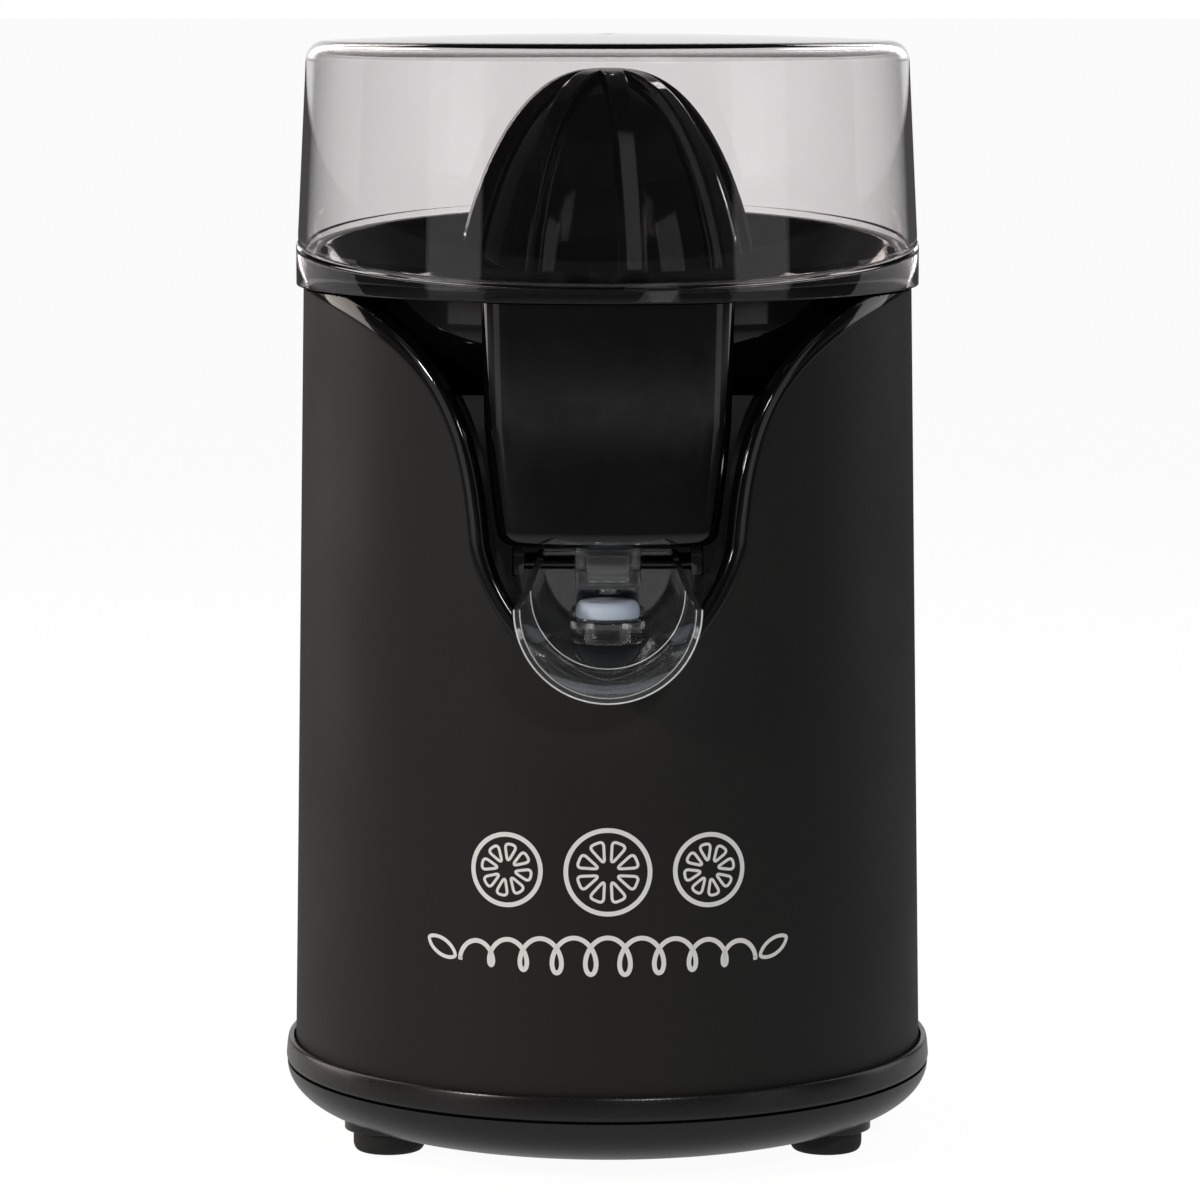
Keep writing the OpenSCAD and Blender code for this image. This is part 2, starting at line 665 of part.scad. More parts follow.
// Outer or inner form of the trough: half a cone with straight walls above, in the hinge's own frame
module trough_form(shrink, top) {
    rotate([90, 0, 0]) cylinder(r1 = spout_rear_r - shrink, r2 = spout_front_r - shrink, h = spout_len, $fn = 96);
    linear_extrude(top) polygon([[spout_rear_r - shrink, 0], [spout_front_r - shrink, -spout_len],
        [shrink - spout_front_r, -spout_len], [shrink - spout_rear_r, 0]]);
}

module spout() color("#dfe5e6", 0.4) difference() {
    union() {
        difference() {
            translate([0, hinge_y, hinge_z - 0.9]) rotate([spout_tilt, 0, 0]) difference() {
                translate([0, 3, 0]) trough_form(0, 12);
                translate([0, 3 - spout_wall, 0]) trough_form(spout_wall, 20);
                translate([-40, 3 - spout_len - 20, -40]) cube([80, 20 - eps, 80]);
            }
            translate([-60, hinge_y + 3, hinge_z + 2.8]) rotate([14, 0, 0]) translate([0, -70, 0]) cube([120, 80, 40]);
            translate([-60, hinge_y + 3, 100]) cube([120, 30, 80]);
        }
        intersection() {
            translate([0, nozzle_y, 126]) cylinder(r = cup_r, h = plug_top_z - plug_h - 126);
            translate([0, hinge_y, hinge_z - 0.9]) rotate([spout_tilt, 0, 0])
                translate([0, 3, 0]) trough_form(0.5, 12);
        }
    }
    across(hinge_z) circle(r = hinge_pin_r + run);
    translate([0, nozzle_y, plug_top_z - plug_h - 3]) cylinder(r = 3, h = 10);
}

module spout_pin() color("silver") translate([-ear_x - ear_t, hinge_y, hinge_z]) rotate([0, 90, 0])
    cylinder(r = hinge_pin_r, h = 2 * (ear_x + ear_t));

module drip_plug() color("#dbe6ee") translate([0, nozzle_y, plug_top_z - plug_h]) {
    cylinder(r = plug_r, h = plug_h - 0.8);
    translate([0, 0, plug_h - 1]) cylinder(r = plug_r - 0.8, h = 1);
    translate([0, 0, -3]) cylinder(r = 3, h = 4);
}

// ---- Strainer, reamer and lid ----

module strainer() color("#0e0e0e") difference() {
    rotate_extrude($fn = 96) polygon([
        [tube_out_r + gap, shoulder_z], [60, shoulder_z], [65.5, shoulder_z + 4], [65.5, shoulder_z + 5.4],
        [63.5, shoulder_z + 5.4], [59, shoulder_z + 2], [tube_out_r + gap, shoulder_z + 2]]);
    for (i = [0:39]) rotate(i * 9) translate([41, -0.9, shoulder_z - 1]) cube([17, 1.8, 4]);
    for (i = [0:17]) rotate(i * 20) translate([20, -0.9, shoulder_z - 1]) cube([15, 1.8, 4]);
}

reamer_low_z = 221;
reamer_h = reamer_tip_z - reamer_low_z;
// Radius of the pressing cone at a share t of its height
function cone_r(t) = reamer_r * pow(1 - pow(t, 1.3), 0.4);
function cone_profile(share, drop, n) =
    [for (i = [0:n]) let(t = pow(i / n, 0.8)) [cone_r(t) * share, reamer_low_z + (reamer_h - drop) * t]];

module reamer() color("#0a0a0a") difference() {
    union() {
        rotate_extrude($fn = 96) polygon(concat([[0, reamer_low_z]], cone_profile(0.86, 2, 14)));
        for (i = [0:rib_count - 1]) rotate(-80 + i * 360 / rib_count) rotate([90, 0, 0])
            linear_extrude(4.4, center = true) polygon(concat([[0, reamer_low_z]], cone_profile(1, 0, 14)));
        translate([0, 0, reamer_low_z]) cylinder(r = reamer_r, h = 2.2);
    }
    difference() {
        translate([0, 0, -0.02]) rotate_extrude($fn = 96)
            polygon(concat([[0, reamer_low_z]], cone_profile(0.78, 7, 12)));
        translate([0, 0, drive_z + 1]) cylinder(r = 7, h = 60);
    }
    translate([0, 0, drive_z]) cylinder(r = drive_r + 0.15, h = drive_top_z - drive_z + 1, $fn = 6);
}

function lid_profile(shrink, low) = concat([[0, low], [lid_low_r - shrink, low], [lid_low_r - shrink, lid_draft_z]],
    arc([lid_top_r - lid_edge, lid_top_z - lid_edge], lid_edge - shrink, 2, 90, 8), [[0, lid_top_z - shrink]]);

module lid() color("#d9d3d4", 0.35) difference() {
    union() {
        rotate_extrude($fn = 128) polygon(lid_profile(0, skirt_low_z));
        intersection() {
            translate([0, 0, skirt_low_z]) cylinder(r = skirt_r, h = 40, $fn = 128);
            below_rim(rim_z + step_h);
        }
    }
    rotate_extrude($fn = 128) polygon(lid_profile(lid_wall, skirt_low_z - 1));
    intersection() {
        translate([0, 0, skirt_low_z - 1]) cylinder(r = skirt_r - skirt_wall, h = 40, $fn = 128);
        below_rim(rim_z + 0.05);
    }
}

base_pan();
base_ring();
feet();
base_screws();
cord_gland();
terminal_block();
body_sleeve();
collar();
front_panel();
chassis();
gearbox_housing();
gearbox_cover();
gearbox_screws();
spindle_bush();
idler_axle();
stator();
coil();
upper_bracket();
lower_bracket();
motor_screws();
rotor();
motor_shaft();
motor_pinion();
compound_gear();
output_gear();
spindle();
spindle_clip();
return_spring();
switch_body();
switch_button();
switch_lever();
lever_pin();
bowl_chute();
bowl();
nozzle();
spout();
spout_pin();
drip_plug();
strainer();
reamer();
lid();
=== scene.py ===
"""Citrus press juicer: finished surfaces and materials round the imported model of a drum-shaped press."""

import json
import math

import bmesh
import bpy
import numpy as np
from bpy.props import FloatProperty, PointerProperty, StringProperty
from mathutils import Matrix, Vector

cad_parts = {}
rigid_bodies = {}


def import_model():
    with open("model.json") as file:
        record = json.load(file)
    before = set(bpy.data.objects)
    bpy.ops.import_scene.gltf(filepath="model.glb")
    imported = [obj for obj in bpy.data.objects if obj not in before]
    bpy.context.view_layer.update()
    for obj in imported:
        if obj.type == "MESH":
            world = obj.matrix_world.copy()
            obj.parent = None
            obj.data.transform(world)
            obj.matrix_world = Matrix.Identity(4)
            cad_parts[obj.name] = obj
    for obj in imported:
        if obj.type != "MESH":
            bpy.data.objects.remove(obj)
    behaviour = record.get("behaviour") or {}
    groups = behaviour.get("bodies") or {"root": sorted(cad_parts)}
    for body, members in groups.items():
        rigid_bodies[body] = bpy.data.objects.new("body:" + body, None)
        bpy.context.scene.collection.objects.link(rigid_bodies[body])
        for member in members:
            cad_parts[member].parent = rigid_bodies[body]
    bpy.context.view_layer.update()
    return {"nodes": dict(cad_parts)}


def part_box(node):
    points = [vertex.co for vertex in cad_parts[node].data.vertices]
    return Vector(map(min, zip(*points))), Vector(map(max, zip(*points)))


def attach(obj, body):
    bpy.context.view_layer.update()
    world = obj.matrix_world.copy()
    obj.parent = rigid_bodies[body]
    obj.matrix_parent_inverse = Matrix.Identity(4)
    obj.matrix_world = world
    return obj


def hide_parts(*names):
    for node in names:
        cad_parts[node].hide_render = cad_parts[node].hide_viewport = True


bl_info = {
    "name": "Citrus Press Juicer",
    "version": (1, 0, 0),
    "blender": (4, 5, 0),
    "location": "3D View > Sidebar > Juicer",
    "description": "Builds the finished surfaces of a drum-shaped citrus press",
    "category": "Add Mesh",
}

MM = 0.001

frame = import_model()


# Sizes shared by several pieces, in millimetres, taken from the frame where it holds them

def span(node, axis):
    """Lowest and highest place of a frame node along an axis, in millimetres."""
    low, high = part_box(node)
    return low[axis] / MM, high[axis] / MM


SHELF_Z, DRUM_TOP_Z = span("body_sleeve", 2)
DRUM_LOW_R = span("body_sleeve", 0)[1]
DRUM_TOP_R = 76.8
DRUM_WALL = 1.2

NECK_HALF_W = 32.3
FLARE_W = 4.6
FLARE_Z = 180.0
FLARE_LEN = 15.9
ARC_Z = 158.0
ARC_H = 36.5
ARC_POWER = 1.65
BEAD_W = 3.7
ALCOVE_Y = -52.0

BASE_R = span("base_ring", 0)[1]
PAN_LOW_Z = span("base_pan", 2)[0]
PAN_FLAT_R = 61.0
SEAM_Z = 17.6
FOOT_XY = (55.0, 31.0)
SCREW_XY = (38.0, 38.0)
POCKET_R = 9.15

RIM_SLOPE = math.tan(math.radians(5.0))
RIM_Z = 225.6
RIM_OUT_R = 76.9
FLANGE_Z = DRUM_TOP_Z + 0.1
LID_TOP_Z = span("lid", 2)[1]
SKIRT_LOW_Z = span("lid", 2)[0]
SKIRT_R = span("lid", 0)[1]

CHUTE_LOW_Z = 156.7
CHUTE_BEND_Z = 186.0
CHUTE_FRONT_R = 75.2
CHUTE_BACK_Y = -54.1

REAMER_LOW_Z, REAMER_TIP_Z = span("reamer", 2)
REAMER_R = 38.0

HINGE_Y = -57.0
HINGE_Z = 151.5
NOZZLE_Y = -66.0
SPOUT_TILT = math.radians(8.5)
SPOUT_LEN = 43.5


def drum_radius(z):
    """Outer radius of the drum at height z: it shrinks evenly from its lower edge to its upper edge."""
    return DRUM_LOW_R - (z - SHELF_Z) * (DRUM_LOW_R - DRUM_TOP_R) / (DRUM_TOP_Z - SHELF_Z)


def opening_half_width(z, inset=0.0):
    """Half width of the drum's front opening at height z: a neck plus a flare that grows by a factor e
    over each flare length, closed at the bottom by a superellipse arc."""
    z = np.asarray(z, float)
    flared = NECK_HALF_W - inset + FLARE_W * np.exp((z - FLARE_Z) / FLARE_LEN)
    drop = np.clip((ARC_Z - z) / (ARC_H - inset), 0.0, 1.0)
    return flared * (1.0 - drop ** ARC_POWER) ** (1.0 / ARC_POWER)


# Colour and node helpers

def linear(hex_colour):
    """An sRGB hex colour as three linear channels."""
    channels = np.array([int(hex_colour[i:i + 2], 16) for i in (1, 3, 5)]) / 255.0
    return np.where(channels <= 0.04045, channels / 12.92, ((channels + 0.055) / 1.055) ** 2.4)


def add_node(tree, kind, settings=None, inputs=None):
    """Adds one node, sets its properties, and sets or links its inputs."""
    node = tree.nodes.new(kind)
    for key, value in (settings or {}).items():
        setattr(node, key, value)
    for key, value in (inputs or {}).items():
        if isinstance(value, bpy.types.NodeSocket):
            tree.links.new(value, node.inputs[key])
        else:
            node.inputs[key].default_value = value
    return node


def blank_material(name):
    """A new material with an empty node tree, and that tree."""
    material = bpy.data.materials.new(name)
    material.use_nodes = True
    material.node_tree.nodes.clear()
    return material, material.node_tree


def shaded(name, colour, roughness, spread=0.12, grain_mm=0.5, bump_mm=0.01, rough_spread=0.08,
           metallic=0.0, ior=1.5, stretch=(1.0, 1.0, 1.0), **shader):
    """A surface with fine grain: noise of the grain's size moves colour, roughness and height a little,
    and a broad noise gives the slow unevenness of handling. Other shader sockets come in by name."""
    material, tree = blank_material(name)
    place = add_node(tree, "ShaderNodeTexCoord").outputs["Object"]
    mapped = add_node(tree, "ShaderNodeMapping", inputs={"Vector": place, "Scale": stretch}).outputs[0]
    grain = add_node(tree, "ShaderNodeTexNoise", inputs={
        "Vector": mapped, "Scale": 1.0 / (grain_mm * MM), "Detail": 3.0, "Roughness": 0.6}).outputs["Fac"]
    broad = add_node(tree, "ShaderNodeTexNoise", inputs={
        "Vector": place, "Scale": 28.0, "Detail": 2.0, "Roughness": 0.5}).outputs["Fac"]
    half = add_node(tree, "ShaderNodeMath", {"operation": "MULTIPLY"}, {0: broad, 1: 0.5}).outputs[0]
    both = add_node(tree, "ShaderNodeMath", {"operation": "MULTIPLY_ADD"}, {0: grain, 1: 0.5, 2: half}).outputs[0]
    ramp = add_node(tree, "ShaderNodeValToRGB", inputs={"Fac": both})
    for element, position, share in zip(ramp.color_ramp.elements, (0.3, 0.7), (1.0 - spread, 1.0 + spread)):
        element.position = position
        element.color = (*np.clip(linear(colour) * share, 0, 1).tolist(), 1.0)
    rough = add_node(tree, "ShaderNodeMapRange", inputs={
        "Value": both, "From Min": 0.3, "From Max": 0.7,
        "To Min": max(0.0, roughness - rough_spread), "To Max": roughness + rough_spread}).outputs[0]
    bump = add_node(tree, "ShaderNodeBump", inputs={
        "Height": grain, "Strength": 1.0, "Distance": bump_mm * MM}).outputs[0]
    inputs = {"Base Color": ramp.outputs["Color"], "Roughness": rough, "Normal": bump, "Metallic": metallic}
    if not metallic:
        inputs["IOR"] = ior
    inputs.update(shader)
    principled = add_node(tree, "ShaderNodeBsdfPrincipled", inputs=inputs)
    add_node(tree, "ShaderNodeOutputMaterial", inputs={"Surface": principled.outputs[0]})
    return material


# Materials, one function for each finish

def powder_coated_steel(look):
    """Polyester powder coat on sheet steel: a warm near-black, with a fine orange-peel skin that spreads
    every highlight into a soft glow."""
    return shaded("powder_coated_steel", look.drum, 0.6, spread=0.10, grain_mm=0.55, bump_mm=0.012,
                  **{"Specular IOR Level": 0.3})


def gloss_abs(look):
    """Injection-moulded ABS from a polished tool: piano black, sharp reflections, faint flow unevenness."""
    return shaded("gloss_abs", look.gloss, 0.07, spread=0.10, grain_mm=6.0, bump_mm=0.004,
                  rough_spread=0.03, ior=1.54)


def satin_polypropylene(look):
    """Moulded polypropylene from a fine-eroded tool: black, half gloss, with a just visible grain."""
    return shaded("satin_polypropylene", look.base, 0.27, spread=0.10, grain_mm=0.5, bump_mm=0.006, ior=1.49)


def smoked_san(look):
    """Moulded SAN, lightly smoked: clear walls with a faint warm grey tint and bright polished edges."""
    material = shaded("smoked_san", look.lid, 0.015, spread=0.01, grain_mm=9.0, bump_mm=0.002,
                      rough_spread=0.01, ior=1.5, **{"Transmission Weight": 1.0})
    tree = material.node_tree
    tint = add_node(tree, "ShaderNodeVolumeAbsorption", inputs={"Color": (0.5, 0.42, 0.44, 1.0), "Density": 85.0})
    output = next(node for node in tree.nodes if node.type == "OUTPUT_MATERIAL")
    tree.links.new(tint.outputs[0], output.inputs["Volume"])
    return material


def clear_san(look):
    """Moulded clear SAN: colourless, with bright edges and slow waves from the tool."""
    return shaded("clear_san", look.spout, 0.025, spread=0.01, grain_mm=7.0, bump_mm=0.006,
                  rough_spread=0.015, ior=1.57, **{"Transmission Weight": 0.988})


def painted_highlight_edge(look):
    """Edge of clear SAN, pale and only part clear: painted highlight, a pale line that stands in for the glint of the
    polished edge.
    """
    return shaded("polished_san_edge", look.spout, 0.15, spread=0.01, grain_mm=7.0, bump_mm=0.004,
                  rough_spread=0.01, ior=1.57, **{"Transmission Weight": 0.6})


def translucent_silicone(look):
    """Moulded silicone rubber: milky and slightly blue, light bleeds through its edges."""
    return shaded("translucent_silicone", look.plug, 0.38, spread=0.05, grain_mm=0.8, bump_mm=0.006,
                  ior=1.41, **{"Subsurface Weight": 0.5, "Subsurface Scale": 2.0 * MM,
                               "Subsurface Radius": (0.9, 0.95, 1.0)})


def foot_rubber(look):
    """Moulded rubber: dull black with a dusty grain."""
    return shaded("foot_rubber", look.rubber, 0.72, spread=0.22, grain_mm=0.4, bump_mm=0.02, ior=1.52)


def screen_ink(look):
    """Screen-printed matt white ink: an even flat film whose mesh leaves a slight tooth."""
    return shaded("screen_ink", look.ink, 0.55, spread=0.03, grain_mm=0.25, bump_mm=0.004, ior=1.5)


def zinc_plated_steel(look):
    """Zinc-plated steel screws and pins: pale, slightly blue metal with turned marks."""
    return shaded("zinc_plated_steel", "#C3C7CC", 0.3, spread=0.12, grain_mm=0.3, bump_mm=0.004,
                  metallic=1.0, stretch=(1.0, 1.0, 6.0))


def natural_acetal(look):
    """Machined-look moulded acetal gears: waxy off-white, low gloss."""
    return shaded("natural_acetal", "#EDE8DA", 0.36, spread=0.04, grain_mm=0.7, bump_mm=0.005, ior=1.48,
                  **{"Subsurface Weight": 0.15, "Subsurface Scale": 1.0 * MM})


def grey_polymer(look):
    """Moulded inner polypropylene: pale grey, dull, with eroded-tool grain."""
    return shaded("grey_polymer", "#C9C8C2", 0.5, spread=0.05, grain_mm=0.6, bump_mm=0.01, ior=1.49)


def stacked_laminations(look):
    """Punched electrical steel in a stack: dark metal ruled by its sheet edges, drawn coarse to show."""
    return shaded("stacked_laminations", "#77797C", 0.42, spread=0.35, grain_mm=1.2, bump_mm=0.05,
                  metallic=1.0, stretch=(0.02, 0.02, 1.0))


def enamelled_copper(look):
    """Enamelled copper winding: warm metal in close layers of wire."""
    return shaded("enamelled_copper", "#B4673A", 0.33, spread=0.3, grain_mm=0.5, bump_mm=0.05,
                  metallic=1.0, stretch=(1.0, 0.05, 1.0))


def sintered_bronze(look):
    """Oil-filled sintered bronze: brown-gold metal with open pores."""
    return shaded("sintered_bronze", "#A9824B", 0.45, spread=0.2, grain_mm=0.25, bump_mm=0.02, metallic=1.0)


def black_phenolic(look):
    """Moulded switch body: dull black thermoset."""
    return shaded("black_phenolic", "#1D1C1B", 0.5, spread=0.1, grain_mm=0.5, bump_mm=0.01)


def red_nylon(look):
    """Moulded nylon button: red, low gloss."""
    return shaded("red_nylon", "#A82A1E", 0.42, spread=0.06, grain_mm=0.5, bump_mm=0.008)


MATERIALS = {}


def material_for(maker):
    """The material that a maker function gives, made once."""
    if maker.__name__ not in MATERIALS:
        MATERIALS[maker.__name__] = maker(bpy.context.scene.juicer_colours)
    return MATERIALS[maker.__name__]


# Surfaces

def grid_faces(rows, columns, wrap_rows=False, wrap_columns=False):
    """Four-sided faces between neighbours of a grid of points, counted row by row."""
    r = np.arange(rows if wrap_rows else rows - 1)
    c = np.arange(columns if wrap_columns else columns - 1)
    r, c = [a.ravel() for a in np.meshgrid(r, c, indexing="ij")]
    r2, c2 = (r + 1) % rows, (c + 1) % columns
    return np.stack([r * columns + c, r * columns + c2, r2 * columns + c2, r2 * columns + c], axis=1)


def mesh_piece(name, parts, maker, outward=True):
    """One object from several (points in millimetres, faces) parts: joined, doubles merged, smooth shaded."""
    points, faces, start = [], [], 0
    for part_points, part_faces in parts:
        flat = np.asarray(part_points, float).reshape(-1, 3)
        points.append(flat)
        faces += (np.asarray(part_faces) + start).tolist()
        start += len(flat)
    mesh = bpy.data.meshes.new(name)
    mesh.from_pydata((np.concatenate(points) * MM).tolist(), [], faces)
    work = bmesh.new()
    work.from_mesh(mesh)
    bmesh.ops.remove_doubles(work, verts=work.verts, dist=0.004 * MM)
    bmesh.ops.dissolve_degenerate(work, edges=work.edges, dist=0.001 * MM)
    if outward:
        bmesh.ops.recalc_face_normals(work, faces=work.faces)
    work.to_mesh(mesh)
    work.free()
    mesh.polygons.foreach_set("use_smooth", np.ones(len(mesh.polygons), bool))
    mesh.materials.append(material_for(maker))
    piece = bpy.data.objects.new(name, mesh)
    bpy.context.scene.collection.objects.link(piece)
    return piece


def finish_piece(piece, body, slot, *nodes):
    """The piece rides on its body and stands for its frame nodes. The slot is not used."""
    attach(piece, body)
    if nodes:
        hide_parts(*nodes)


def sharpen(piece, degrees=35.0):
    """Marks edges that turn more than the angle as sharp, so that flats stay flat beside round stretches."""
    work = bmesh.new()
    work.from_mesh(piece.data)
    limit = math.radians(degrees)
    for edge in work.edges:
        edge.smooth = not (len(edge.link_faces) == 2 and edge.calc_face_angle(0.0) > limit)
    work.to_mesh(piece.data)
    work.free()


def add_piece(name, parts, maker, body, slot, *nodes, sharp=None):
    """Makes a piece, keeps its edges sharp beyond an angle where one is given, and finishes it."""
    piece = mesh_piece(name, parts, maker)
    if sharp:
        sharpen(piece, sharp)
    finish_piece(piece, body, slot, *nodes)


def apply_modifier(piece, kind, **settings):
    """Adds a modifier with its settings and applies it."""
    modifier = piece.modifiers.new(kind.title(), kind)
    for key, value in settings.items():
        setattr(modifier, key, value)
    bpy.context.view_layer.update()
    evaluated = piece.evaluated_get(bpy.context.evaluated_depsgraph_get())
    mesh = bpy.data.meshes.new_from_object(evaluated)
    piece.modifiers.clear()
    old, piece.data = piece.data, mesh
    bpy.data.meshes.remove(old)


def rounded(points, radii, steps=5, closed=True):
    """A polyline with its corners rounded: each corner becomes an arc, drawn as a quadratic curve between
    the two points that lie one radius before and after it along its edges."""
    points = np.asarray(points, float)
    radii = np.broadcast_to(np.asarray(radii, float), (len(points),))
    out = []
    for i, corner in enumerate(points):
        if not closed and i in (0, len(points) - 1):
            out.append(corner[None])
            continue
        before = points[i - 1] - corner
        after = points[(i + 1) % len(points)] - corner
        reach_b = min(radii[i], 0.48 * np.linalg.norm(before))
        reach_a = min(radii[i], 0.48 * np.linalg.norm(after))
        if min(reach_a, reach_b) < 1e-6:
            out.append(corner[None])
            continue
        start = corner + before / np.linalg.norm(before) * reach_b
        end = corner + after / np.linalg.norm(after) * reach_a
        t = np.linspace(0, 1, steps + 1)[:, None]
        out.append((1 - t) ** 2 * start + 2 * t * (1 - t) * corner + t ** 2 * end)
    return np.concatenate(out)


def revolved(profile, segments=192, closed=True):
    """A profile of (radius, height, slope share) turned about the axis. A point's height rises towards the
    back by its slope share of the rim's slope. Points run along the profile, then round the axis."""
    profile = np.asarray(profile, float)
    angle = np.linspace(0, 2 * math.pi, segments, endpoint=False)[None, :]
    radius, height, share = [profile[:, i][:, None] for i in range(3)]
    x = radius * np.sin(angle)
    y = -radius * np.cos(angle)
    z = height + share * RIM_SLOPE * y
    points = np.stack([x, y, z + 0 * x], axis=2)
    return points, grid_faces(len(profile), segments, wrap_rows=closed, wrap_columns=True)


def with_share(points, share=0.0):
    """(radius, height) points with the same slope share added to each."""
    points = np.asarray(points, float)
    return np.column_stack([points, np.full(len(points), share)])


def moved(part, offset):
    """A part shifted by an offset in millimetres."""
    return part[0] + np.asarray(offset, float), part[1]


def four_corners(x, y):
    """Places at both sides and at front and back."""
    return [(side * x, end * y, 0) for side in (-1, 1) for end in (-1, 1)]


def capped_loft(rings):
    """Closed rings of equal counts joined in order, with a flat cap of quads and triangles at both ends
    that shrinks the end ring to its middle."""
    rings = np.asarray(rings, float)
    middle = [np.repeat(rings[i].mean(axis=0)[None], rings.shape[1], axis=0) for i in (0, -1)]
    rings = np.concatenate([middle[0][None], rings, middle[1][None]])
    return rings, grid_faces(rings.shape[0], rings.shape[1], wrap_columns=True)


def rounded_block(low, high, corner, edge, steps=4):
    """A box whose upright corners and top and bottom edges are rounded: the same rounded rectangle at
    every height, pulled in at both ends along a quarter circle."""
    low, high = np.asarray(low, float), np.asarray(high, float)
    outline = rounded([[low[0], low[1]], [high[0], low[1]], [high[0], high[1]], [low[0], high[1]]], corner, steps)
    middle = (low[:2] + high[:2]) / 2
    half = (high[:2] - low[:2]) / 2
    turn = np.linspace(0, math.pi / 2, steps + 1)
    pulls = edge * (1 - np.sin(turn))
    rises = edge * (1 - np.cos(turn))
    rings = []
    for height, pull in [*zip(low[2] + rises, pulls), *zip((high[2] - rises)[::-1], pulls[::-1])]:
        flat = middle + (outline - middle) * (half - pull) / half
        rings.append(np.column_stack([flat, np.full(len(flat), height)]))
    return capped_loft(rings)


# Drum, collar and alcove

def opening_edge(inset=0.0, count=220):
    """The right half of the opening's edge on the drum as (angle, height), evenly spaced by length,
    from the bottom in front to the top."""
    rise = np.linspace(0, 1, 4000) ** 2.2
    low = ARC_Z - (ARC_H - inset)
    z = low + (DRUM_TOP_Z - low) * rise
    radius = drum_radius(z)
    angle = np.arcsin(np.clip(opening_half_width(z, inset) / radius, -1, 1))
    length = np.concatenate([[0], np.cumsum(np.hypot(np.diff(angle) * radius[1:], np.diff(z)))])
    even = np.linspace(0, length[-1], count)
    return np.interp(even, length, angle), np.interp(even, length, z)


def on_drum(angle, z, outward=0.0):
    """A point at an angle from the front and a height, a distance outside the drum's surface."""
    radius = drum_radius(z) + outward
    return np.stack([radius * np.sin(angle), -radius * np.cos(angle), z + 0 * angle], axis=-1)


class JUICER_OT_drum(bpy.types.Operator):
    """Tapered sheet drum with the swooping front opening"""
    bl_idname = "juicer.drum"
    bl_label = "Drum"

    def execute(self, context):
        """Each column of the grid is a straight line up the cone, from the lower edge to the opening's edge
        or the drum's top. Columns are spaced evenly along the opening's edge."""
        edge_angle, edge_z = opening_edge()
        back = np.linspace(edge_angle[-1], math.pi, 90)[1:]
        angle = np.concatenate([edge_angle, back])
        top = np.concatenate([edge_z, np.full(len(back), DRUM_TOP_Z)])
        angle = np.concatenate([-angle[::-1], angle[1:-1]])
        top = np.concatenate([top[::-1], top[1:-1]])
        share = np.linspace(0, 1, 49)[:, None]
        z = SHELF_Z + share * (top - SHELF_Z)[None]
        a = np.broadcast_to(angle[None], z.shape)
        columns = len(angle)
        outer = on_drum(a, z)
        inner = on_drum(a, z, -DRUM_WALL)[::-1]
        points = np.concatenate([outer, inner])
        faces = grid_faces(len(points), columns, wrap_rows=True, wrap_columns=True)
        add_piece("drum_shell", [(points, faces)], powder_coated_steel, "housing", "drum_paint", "body_sleeve",
                  sharp=35)
        return {"FINISHED"}


class JUICER_OT_collar(bpy.types.Operator):
    """Gloss collar: the bead round the opening and the ring under the bowl's flange"""
    bl_idname = "juicer.collar"
    bl_label = "Collar"

    def execute(self, context):
        """A rounded band section carried along the opening's edge, square to the edge and to the drum, and
        a ring section turned about the axis everywhere but in front."""
        right_angle, right_z = opening_edge(inset=0.1)
        angle = np.concatenate([-right_angle[:0:-1], right_angle])
        z = np.concatenate([right_z[:0:-1], right_z])
        place = on_drum(angle, z)
        normal = np.stack([np.sin(angle), -np.cos(angle), 0 * angle], axis=1)
        along = np.gradient(place, axis=0)
        along /= np.linalg.norm(along, axis=1)[:, None]
        inward = np.cross(along, normal)
        inward /= np.linalg.norm(inward, axis=1)[:, None]
        if inward[len(inward) // 2, 2] < 0:
            inward = -inward
        top = np.clip((z - 196.0) / (DRUM_TOP_Z - 196.0), 0, 1)
        width = BEAD_W + 1.6 * top
        section = rounded([[0, -3.3], [0, 0.5], [0.86, 0.5], [1.0, -0.5], [1.0, -3.3]], [0, 0.5, 0.45, 0.4, 0], 5)
        points = (place[None] + inward[None] * (section[:, 0][:, None] * width[None])[..., None]
                  + normal[None] * section[:, 1][:, None, None])
        points[..., 2] = np.minimum(points[..., 2], DRUM_TOP_Z - 0.02)
        loops = np.swapaxes(points, 0, 1)
        bead = capped_loft(loops)
        ring_section = np.array([[70.4, DRUM_TOP_Z], [75.3, DRUM_TOP_Z], [75.3, DRUM_TOP_Z - 11.8],
                                 [72.3, DRUM_TOP_Z - 11.8], [72.3, DRUM_TOP_Z - 4], [70.4, DRUM_TOP_Z - 4]])
        profile = rounded(ring_section, 0.5, 3)
        free = np.linspace(1.33, 2 * math.pi - 1.33, 161)
        loops = np.stack([profile[None, :, 0] * np.sin(free)[:, None], -profile[None, :, 0] * np.cos(free)[:, None],
                          profile[None, :, 1] + 0 * free[:, None]], axis=2)
        add_piece("collar_moulding", [bead, capped_loft(loops)], gloss_abs, "housing", "gloss_black", "collar",
                  sharp=50)
        return {"FINISHED"}


